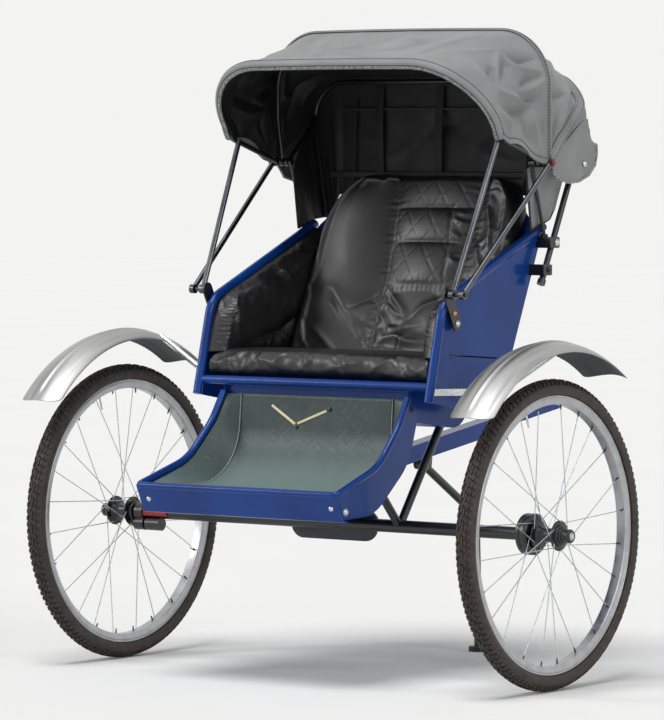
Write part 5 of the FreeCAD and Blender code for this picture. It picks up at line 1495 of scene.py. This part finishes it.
def back_grid():
    """Places across and up, and lift, for the back pad's front, as the formula above."""
    z = ROW_Z[:, None]
    half_l, half_r = back_outline(z, 150.0), back_outline(z, 110.0)
    left, right = (np.interp(ROW_Z, seam[::-1, 1], seam[::-1, 0])[:, None] for seam in (SEAM_LEFT, SEAM_RIGHT))
    right = np.minimum(right, half_r - 20)
    shares = [np.linspace(0, 1, n + 1)[None] for n in SPAN_COLS]
    spans = [(-half_l, left), (left, right), (right, half_r)]
    x = side_by_side([a + (b - a) * s for (a, b), s in zip(spans, shares)])
    z = np.broadcast_to(z, x.shape)
    seams = np.concatenate([[z.min() - 60], CROSS_Z, [1200.0]])
    k = np.clip(np.searchsorted(seams, z, side="right") - 1, 0, len(seams) - 2)
    up = np.clip((z - seams[k]) / (seams[k + 1] - seams[k]), 0, 1)
    lift = [np.broadcast_to(np.sin(np.pi * s) ** 0.6 * rise, (len(ROW_Z), s.shape[1]))
            for s, rise in zip(shares, (27.0, 15.0, 22.0))]
    lift[1] = lift[1] * (0.5 + 0.5 * (np.sin(np.pi * up) ** 0.5)[:, :1])
    flat = np.stack([x, z], -1)
    lift = side_by_side(lift) - 20 + folds(flat, BACK_FOLDS)
    lift += puckers(flat, SEAM_LEFT[1:-1], 13, 1.5, 15, 3) + puckers(flat, SEAM_RIGHT[1:-1], 16, 2.2, 15, 4)
    for n, (cross, right_x) in enumerate(zip(CROSS_Z, (163, 168, 173))):
        lift += puckers(flat, [(-50, cross), (right_x, cross)], 9, 1.1, 14, 8 + n)
    pressed = np.exp(-(np.abs(x - np.interp(z, (967, 1017, 1095), (118, 112, 97))) / 2.5) ** 2)
    lift -= (x > left) * (x < right) * 2.5 * pressed * (z > 930) * (z < 1096)
    half = np.where(x < 0, half_l, half_r)
    edge = edge_round(half - np.abs(x) + 1.5, 34) * edge_round(PAD_TOP_Z + 1.5 - z, 26)
    return x, z, -54 + (54 + lift) * edge


# %% [markdown]
# Before the solver runs, the seams, the border and the whole quilted column are pinned, so that
# only the bolsters and the loose part puff. The faces of the quilted column then take a finish
# of their own.

# %% Back pad
x, z, lift = back_grid()
column = slice(SEAM_COLS[1], SEAM_COLS[2] + 1)
pinned = edges_held(x.shape)
pinned[:, SEAM_COLS] = pinned[ROW_Z >= QUILT_LOW_Z, column] = True
back_front = puffed(on_back_plane(x, z, lift), grid_faces(*x.shape), pinned, pressure=1.6, spare=0.012, cap=6.0)
back_pad = pad_piece("back_upholstery", back_front, on_back_plane(x, z, -54.0))
back_pad.data.materials.append(QUILTED)
cell_row, cell_col = np.divmod(np.arange((x.shape[0] - 1) * (x.shape[1] - 1)), x.shape[1] - 1)
quilted = ((ROW_Z[cell_row] > QUILT_LOW_Z) & (ROW_Z[cell_row] < QUILT_TOP_Z)
           & (cell_col >= SEAM_COLS[1]) & (cell_col < SEAM_COLS[2]))
choice = np.zeros(len(back_pad.data.polygons), int)
choice[:len(quilted)] = quilted
back_pad.data.polygons.foreach_set("material_index", choice)
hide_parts("back_pad")
print(quilted.sum(), "faces of the back are quilted")

# %% [markdown]
# ## Arm pads
#
# Each arm pad is a thick roll that fills the side of the tub. Its front edge is gathered into
# small pleats, its face is smooth, and it tucks in where it meets the seat and the back. The
# folds are lines in Y and Z.

# %% Folds of the arm pads
ARM_FOLDS = [
    ([(150, 968), (178, 966), (204, 935), (233, 904), (262, 862)], 8, 6.0),
    ([(187, 981), (233, 924), (262, 875)], 8, 5.0),
    ([(205, 958), (228, 925), (250, 885)], 6, -4.0),
    ([(55, 938), (100, 925), (140, 916)], 8, 4.0),
    ([(112, 957), (132, 945), (152, 934)], 7, 4.0),
    ([(192, 1001), (230, 1000), (263, 993), (330, 968)], 8, 5.0),
    ([(275, 1022), (315, 1002), (350, 980)], 8, 5.0),
    ([(255, 1012), (285, 990), (320, 965)], 8, -4.0),
    ([(158, 890), (170, 865), (180, 843)], 12, 3.0),
    ([(216, 872), (200, 856), (185, 842)], 12, 3.0),
    ([(70, 770), (110, 778), (187, 790), (262, 836)], 15, -11.0),
    ([(84, 782), (92, 768), (100, 752)], 6, 5.0),
    ([(103, 784), (111, 768), (120, 751)], 6, 5.0),
    ([(134, 752), (145, 770), (164, 788)], 7, 5.0),
    ([(191, 788), (212, 768), (231, 750)], 7, 5.0),
    ([(186, 750), (188, 765), (187, 782)], 6, 4.0),
    ([(284, 860), (288, 821), (299, 800)], 8, 6.0),
    ([(240, 800), (262, 780), (285, 770)], 9, 4.0),
]
ARM_LOW_Z, TUB_SIDE_X, ARM_THICK = 749.0, 332.4, 45
ARM_FRONT_COLS, ARM_COLS, ARM_ROWS = 14, 78, 56
print(len(ARM_FOLDS), "folds on each arm pad")

# %% [markdown]
# The front edge depends on the height, and the height of the rail on how far back a point is.
# So the two are worked out in turn, and after six rounds they agree.

# %% Grid of an arm pad
def arm_grid():
    """Grid of an arm pad: front to back, and seat to rail.

    Heights are shares between the seat and the sloping rail, and the front edge leans with the
    post and turns over in a quarter circle of 45 mm. The gaps to the front and the top come too."""
    slope = (RAIL_END[1] - 872.0) / (RAIL_END[0] + 20.0)
    near = 30 * (1 - np.cos(np.linspace(0, QUARTER_TURN, ARM_FRONT_COLS)))
    far = np.linspace(30, 330, ARM_COLS - ARM_FRONT_COLS + 1)[1:]
    gap = np.concatenate([near, far])[:, None] / 330
    up = np.sin(np.linspace(0, QUARTER_TURN, ARM_ROWS))[None] * 0.35 + np.linspace(0, 1, ARM_ROWS)[None] * 0.65
    y = np.broadcast_to(-40 + gap * 330, (ARM_COLS, ARM_ROWS)).copy()
    for _ in range(6):
        top = 876 - 6 + slope * (y + 14)
        z = ARM_LOW_Z + (top - ARM_LOW_Z) * up
        front = -48 + (z - ARM_LOW_Z) * 34 / 127
        turn_in = np.clip((z - (top - 45)) / 45, 0, 1)
        front = front + 45 * (1 - np.sqrt(np.clip(1 - turn_in ** 2, 0, 1)))
        rear = RAIL_END[0] - (RAIL_END[1] - z) * math.tan(LEAN) - 5
        y = front + (rear - front) * gap
    return y, z, y - front, top - z


def arm_pad(side):
    """Front and back grids of one arm pad.

    It stands off the tub's side by 45 mm, a swell at the elbow and one towards the back, and the
    folds, all times a quarter circle at each edge. The pleats are two sines of the height that
    fade, as e to the power of minus the square, from 9 mm behind the front edge."""
    y, z, from_front, from_top = arm_grid()
    flat = np.stack([y, z], -1)
    swell = 7 * np.exp(-((y - 20) / 90) ** 2) * np.exp(-((z - 820) / 70) ** 2) + 9 * smooth((y - 190) / 120)
    height = ARM_THICK + swell + folds(flat, ARM_FOLDS)
    height = height * edge_round(from_front + 0.4, 28) * edge_round(from_top + 0.6, 24)
    pleat = np.sin(2 * np.pi * (z + 3 * np.sin(z / 23)) / 9.5) + 0.5 * np.sin(2 * np.pi * z / 15.3)
    height += (1.5 * pleat * np.exp(-((from_front - 9) / 12) ** 2) * smooth((z - 765) / 30)
               * smooth((from_top - 4) / 14))
    x = TUB_SIDE_X - np.clip(height, 0.5, None)
    return np.stack([side * x, y, z], -1), np.stack([np.full(x.shape, side * TUB_SIDE_X), y, z], -1)


for side_name, side in SIDES:
    front, back_side = arm_pad(side)
    faces = grid_faces(*front.shape[:2])[:, ::-side]
    front = puffed(front, faces, edges_held(front.shape[:2]), pressure=1.2, spare=0.012, cap=5.0)
    pad = pad_piece("arm_upholstery_" + side_name, front, back_side)
    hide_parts("arm_pad_" + side_name)
    print(pad.name, "has", len(pad.data.polygons), "faces")

# %% [markdown]
# ## Seat cushion
#
# The seat is one long roll of foam in a loose cover. Its section is carried from side to side,
# and the loose cover buckles over the front edge.

# %% Seat cushion
CUSHION_FOLDS = [
    ([(-187, -30, 750), (-186, -50, 735), (-181, -55, 712)], 7, -6.0),
    ([(-172, -30, 750), (-169, -50, 735), (-160, -55, 715)], 6, 5.0),
    ([(-169, -52, 735), (-125, -55, 721), (-76, -55, 715)], 7, 5.0),
    ([(-55, -55, 706), (-38, -55, 720), (-15, -50, 737)], 7, 6.0),
    ([(-130, -55, 718), (-112, -50, 737), (-95, -30, 750)], 7, 4.5),
    ([(-280, -40, 745), (-262, -55, 725), (-250, -55, 705)], 8, -4.0),
    ([(-60, -35, 749), (-50, -52, 732), (-30, -55, 712)], 8, -5.0),
    ([(40, -35, 749), (60, -52, 733), (75, -55, 708)], 7, -5.0),
    ([(20, -55, 712), (70, -55, 722), (120, -53, 731)], 7, 5.0),
    ([(150, -55, 708), (170, -55, 722), (205, -45, 742)], 7, 5.5),
    ([(215, -40, 746), (232, -53, 728), (240, -55, 708)], 7, -5.0),
    ([(250, -50, 735), (285, -54, 722), (310, -54, 716)], 7, 4.5),
]
CUSHION_ROWS, CUSHION_COLS, CUSHION_HALF_W = 58, 131, 331.5
CUSHION_LOW_Z, CUSHION_FRONT_Y, CUSHION_BACK_Y = 694.6, -30, 190
CUSHION_SECTION = curved_path([(-34, 695), (-47, 699), (-54.5, 712), (-53, 732), (-41, 745), (-20, 750),
                               (20, 751.5), (80, 751), (150, 749.5), (CUSHION_BACK_Y, 747)], CUSHION_ROWS)


def cushion_grid():
    """The section in Y and Z carried across, and drawn in by 12 mm beside the front posts.

    It is raised along its normal by the folds and by gathers: two sines of the place across, the
    first with its own sine in it, that fade from the front edge as e to the power of minus the
    square of the distance over 16 mm."""
    x = np.linspace(-1, 1, CUSHION_COLS)
    y, z = (np.broadcast_to(CUSHION_SECTION[:, k:k + 1], (CUSHION_ROWS, CUSHION_COLS)) for k in (0, 1))
    run = (CUSHION_HALF_W - 12 * smooth((0 - y) / 30)) * x
    points = np.stack([run, y, z], -1)
    normal = np.gradient(CUSHION_SECTION, axis=0)
    normal = unit(np.stack([np.zeros(CUSHION_ROWS), -normal[:, 1], normal[:, 0]], -1))[:, None]
    gather = np.sin(run / 11.0 + 1.2 * np.sin(run / 31.0)) + 0.7 * np.sin(run / 6.3 + 2)
    lift = folds(points, CUSHION_FOLDS) + 0.9 * (gather * np.exp(-((y + 50) / 16) ** 2))
    end = edge_round((1 - np.abs(x)) * CUSHION_HALF_W + 2, 16)[None]
    points[..., 2] = points[..., 2] - np.clip(z - 700, 0, None) * (1 - end) * 0.6
    return points + normal * lift[..., None]


seat_front = cushion_grid()
faces = grid_faces(CUSHION_ROWS, CUSHION_COLS)[:, ::-1]
seat_front = puffed(seat_front, faces, edges_held(seat_front.shape[:2]), pressure=1.5, spare=0.02, cap=5.0)
seat_low = seat_front.copy()
seat_low[..., 1] = np.linspace(CUSHION_FRONT_Y, CUSHION_BACK_Y, CUSHION_ROWS)[:, None]
seat_low[..., 2] = CUSHION_LOW_Z
cushion = pad_piece("seat_upholstery", seat_front, seat_low)
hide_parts("seat_cushion")
print("the cushion's top is", round(seat_front[..., 2].max()), "mm above the ground")

# %% [markdown]
# ## Footboard
#
# A rubber mat lies in the curved floor and the same rubber lines the two cheeks. Its section
# follows the floor: forward, round a bend of 150 mm, and up behind the passenger's calves. The
# cheeks splay by 3.4 degrees, so the mat widens to the front. The linings lean in towards the
# floor and meet the mat along a line of piping.

# %% Lines of the footboard
FLOOR_PATH, FLOOR_BEND = [(-352, 436), (-66, 446), (-47.3, 654)], 150
RIM_PATH, RIM_BEND = [(-62, 657), (-104, 590), (-190, 505), (-352, 455)], 160
CHEEK_X, SPLAY_Y, SPLAY_SLOPE = 262.0, -22.0, 0.0601
LINING_LEAN, MAT_LIFT, MAT_ROWS = 44.0, 3.6, 64


def filleted(path, radius, steps):
    """An open path whose corners are arcs of one radius.

    The arc's centre lies on the corner's bisector, at the radius over the sine of half its angle."""
    path = np.asarray(path, float)
    out = [path[:1]]
    for before, corner, after in zip(path[:-2], path[1:-1], path[2:]):
        a, b = unit(before - corner), unit(after - corner)
        half_angle = np.arccos(np.clip(a @ b, -1, 1)) / 2
        reach = radius / np.tan(half_angle)
        middle = corner + unit(a + b) * radius / np.sin(half_angle)
        first, last = corner + a * reach - middle, corner + b * reach - middle
        t = np.linspace(0, 1, steps)[:, None]
        out.append(middle + unit(first * (1 - t) + last * t) * radius)
    return np.concatenate(out + [path[-1:]])


def cheek_x(y):
    """Half width of the footboard at a place along it."""
    return CHEEK_X + np.clip(SPLAY_Y - y, 0, None) * SPLAY_SLOPE


def left_of(line):
    """Unit directions square to a line in a plane, on its left."""
    run = np.gradient(line, axis=0)
    return unit(np.stack([-run[:, 1], run[:, 0]], -1))


floor_line = even_path(filleted(FLOOR_PATH, FLOOR_BEND, 24), MAT_ROWS)
floor_up = left_of(floor_line)
rim_line = even_path(filleted(RIM_PATH, RIM_BEND, 20), MAT_ROWS)
inward = left_of(rim_line)
inward = inward * np.sign((inward * (np.array([-20.0, 440.0]) - rim_line)).sum(-1, keepdims=True))
print("the mat is", round(np.linalg.norm(np.diff(floor_line, axis=0), axis=1).sum()), "mm long along its bend")

# %% [markdown]
# The mat is the floor's line carried across. Each lining is a straight blend between the
# floor's line and the rim's, which leans in by 41 mm at the floor.

# %% Mat, linings and piping
def flat_piece(name, grid, faces, thickness):
    """A thin sheet of the mat's rubber on a grid."""
    piece = make_piece(name, grid, faces, MAT_RUBBER, "body", "mat_rubber")
    walled(piece, thickness)
    return piece


share = np.linspace(-1, 1, 61)
mat_top = floor_line + floor_up * MAT_LIFT
across = (cheek_x(floor_line[:, 0])[:, None] - LINING_LEAN) * share
mat = np.stack([across] + [np.broadcast_to(mat_top[:, k:k + 1], across.shape) for k in (0, 1)], -1)
mat_piece = flat_piece("foot_mat_sheet", mat, grid_faces(*across.shape), 2.4)
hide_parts("foot_mat")

upper, lower = rim_line + inward * 9.5, (floor_line + floor_up * 3.2)[::-1]
t = np.linspace(0, 1, 24)[:, None, None]
yz = lower[None] * (1 - t) + upper[None] * t
for side_name, side in SIDES:
    lining = np.concatenate([side * (cheek_x(yz[..., :1]) - 2.2 - (LINING_LEAN - 3) * (1 - t)), yz], -1)
    flat_piece("cheek_lining_" + side_name, lining, grid_faces(*lining.shape[:2])[:, ::side], 1.4)
    seam = np.column_stack([side * (cheek_x(lower[:, 0]) - LINING_LEAN), lower + floor_up[::-1] * MAT_LIFT])
    piping = swept(even_path(seam, 90), circle_section(1.5, 8), (1, 0, 0))
    closed_piece("mat_piping_" + side_name, [piping], THREAD, "body", "mat_rubber")
print("the mat is", round(2 * float(across.max())), "mm wide at its front edge")

# %% [markdown]
# ## Bolts and bars of the footboard
#
# Domed bolts hold the folded lip and the cheeks. Two cream bars lie on the upright part of the
# mat, in a wide V, with a black button by each.

# %% Bolts, screws, bars and buttons
DOME_BOLT = [(-1, 8.6), (1.3, 8.6), (1.7, 8.2), (1.7, 6.6), (2.0, 6.4), (4.0, 6.0), (5.6, 4.6), (6.4, 2.4),
             (6.5, 1.9), (5.2, 1.6), (5.2, 0.05)]
BUTTON = [(-1, 4.0), (2.5, 4.0), (4.4, 3.0), (5, 1.2), (5, 0.05)]
BAR = [(-3.0, 0), (-3.0, -2.6), (-2.2, -3.4), (2.2, -3.4), (3.0, -2.6), (3.0, 0)]
BAR_OUT = 5.0


def sized(profile, wide, high=None):
    """A profile of (height, radius), made narrower or wider, and lower or higher."""
    return [(h * (high or 1), r * wide) for h, r in profile]


def on_mat(x, z):
    """Points just off the mat's upright part."""
    x, z = np.broadcast_arrays(np.asarray(x, float), np.asarray(z, float))
    return np.stack([x, np.interp(z, floor_line[:, 1], floor_line[:, 0]) - BAR_OUT, z], -1)


bolts, screws, bars = facing([(-262, -349.5, 421), (262, -349.5, 421)], (0, -71, -26), DOME_BOLT), [], []
for side in (-1, 1):
    bolts += facing([(side * 285.4, -329, 412)], (side, -0.06, 0), DOME_BOLT)
    screws += facing([(side * 268.6, -47, 629)], (side, -0.06, 0), sized(DOME_BOLT, 0.62, 0.8))
for a, b in (((-127, 628), (-57, 586)), ((-50, 588), (32, 620))):
    line = even_path([on_mat(*a), on_mat(*b)], 12)
    bars.append(swept(on_mat(line[:, 0], line[:, 2]), BAR, (0, 1, 0)))
buttons = facing([on_mat(-52, 580)], (0, -1, 0.1), BUTTON)
buttons += facing([on_mat(41, 624)], (0, -1, 0.1), sized(BUTTON, 1.3))
closed_piece("foot_bolts", bolts, BRIGHT_STEEL, "body", "bright_steel", 30)
closed_piece("cheek_screws", screws, DARK_COAT, "body", "frame_black", 30)
closed_piece("mat_bars", bars, CREAM, "body", "bright_steel", 40)
closed_piece("mat_buttons", buttons, BLACK_COAT, "body", "frame_black", 40)
print(len(bolts), "bolts,", len(bars), "bars and", len(buttons), "buttons")

# %% [markdown]
# ## Bolts and knobs
#
# The hood's ears, clamps and pivots have their own fasteners: domed nuts, a brass one among
# them, and a red knob on each of the hood's pivots. Each row below gives the finish, the slot,
# and the places on one side with their profiles.

# %% Fasteners of the hood
SIDE_OUT_X, CLAMP_OUT_X, EAR_OUT_X, PIVOT_OUT_X = 337.0, 378.5, 351.4, 412.2
KNOB = [(-1, 6.4), (1.0, 6.8), (3.4, 6.8), (5.0, 5.6), (5.8, 3.6), (6.0, 0.05)]
FASTENERS = {
    "hood_bolts": (BRIGHT_STEEL, "bright_steel", [((EAR_OUT_X, 17, 828), sized(DOME_BOLT, 0.85), 20),
                                                  ((CLAMP_OUT_X, 386, 1009), sized(DOME_BOLT, 0.95), 20)]),
    "brass_nuts": (BRASS, "bright_steel", [((EAR_OUT_X, 4.6, 852), sized(DOME_BOLT, 0.72), 20)]),
    "clamp_nuts": (BLACK_COAT, "frame_black", [((CLAMP_OUT_X, 354, 945), sized(DOME_BOLT, 0.95), 20)]),
    "pivot_knobs": (RED_COAT, "brake_red", [((PIVOT_OUT_X, 318, 1196), KNOB, 28)]),
}
for name, (material, slot, rows) in FASTENERS.items():
    parts = []
    for side in (-1, 1):
        for (x, y, z), profile, count in rows:
            parts += facing([(side * x, y, z)], (side, 0, 0), profile, count)
    closed_piece(name, parts, material, "body", slot, 35)
    print(name, "has", len(parts), "parts")

# %% [markdown]
# Low on each side, beside the seat rail, runs a short bright strip. Two slot screws sit above it.

# %% Strips and screws on the sides
FLAT_BAR = [(-8, -0.6), (-8, 1.4), (-7.4, 2.0), (7.4, 2.0), (8, 1.4), (8, -0.6)]
SCREW = [(-1, 3.0), (1.0, 3.0), (1.8, 2.2), (2.0, 1.0), (2.0, 0.05)]
strips, screws = [], []
for side in (-1, 1):
    x = side * SIDE_OUT_X
    line = even_path([(x, -64, 673), (x, 70, 668)], 8)
    strips.append(banded(line, same((0, 0, 1), line), same((side, 0, 0), line), FLAT_BAR))
    screws += facing([(x, 12, 747), (x, 190, 734)], (side, 0, 0), SCREW, 14)
closed_piece("side_strips", strips, BRIGHT_STEEL, "body", "bright_steel", 35)
closed_piece("slot_screws", screws, DARK_COAT, "body", "frame_black", 35)
print(len(strips), "strips and", len(screws), "screws")
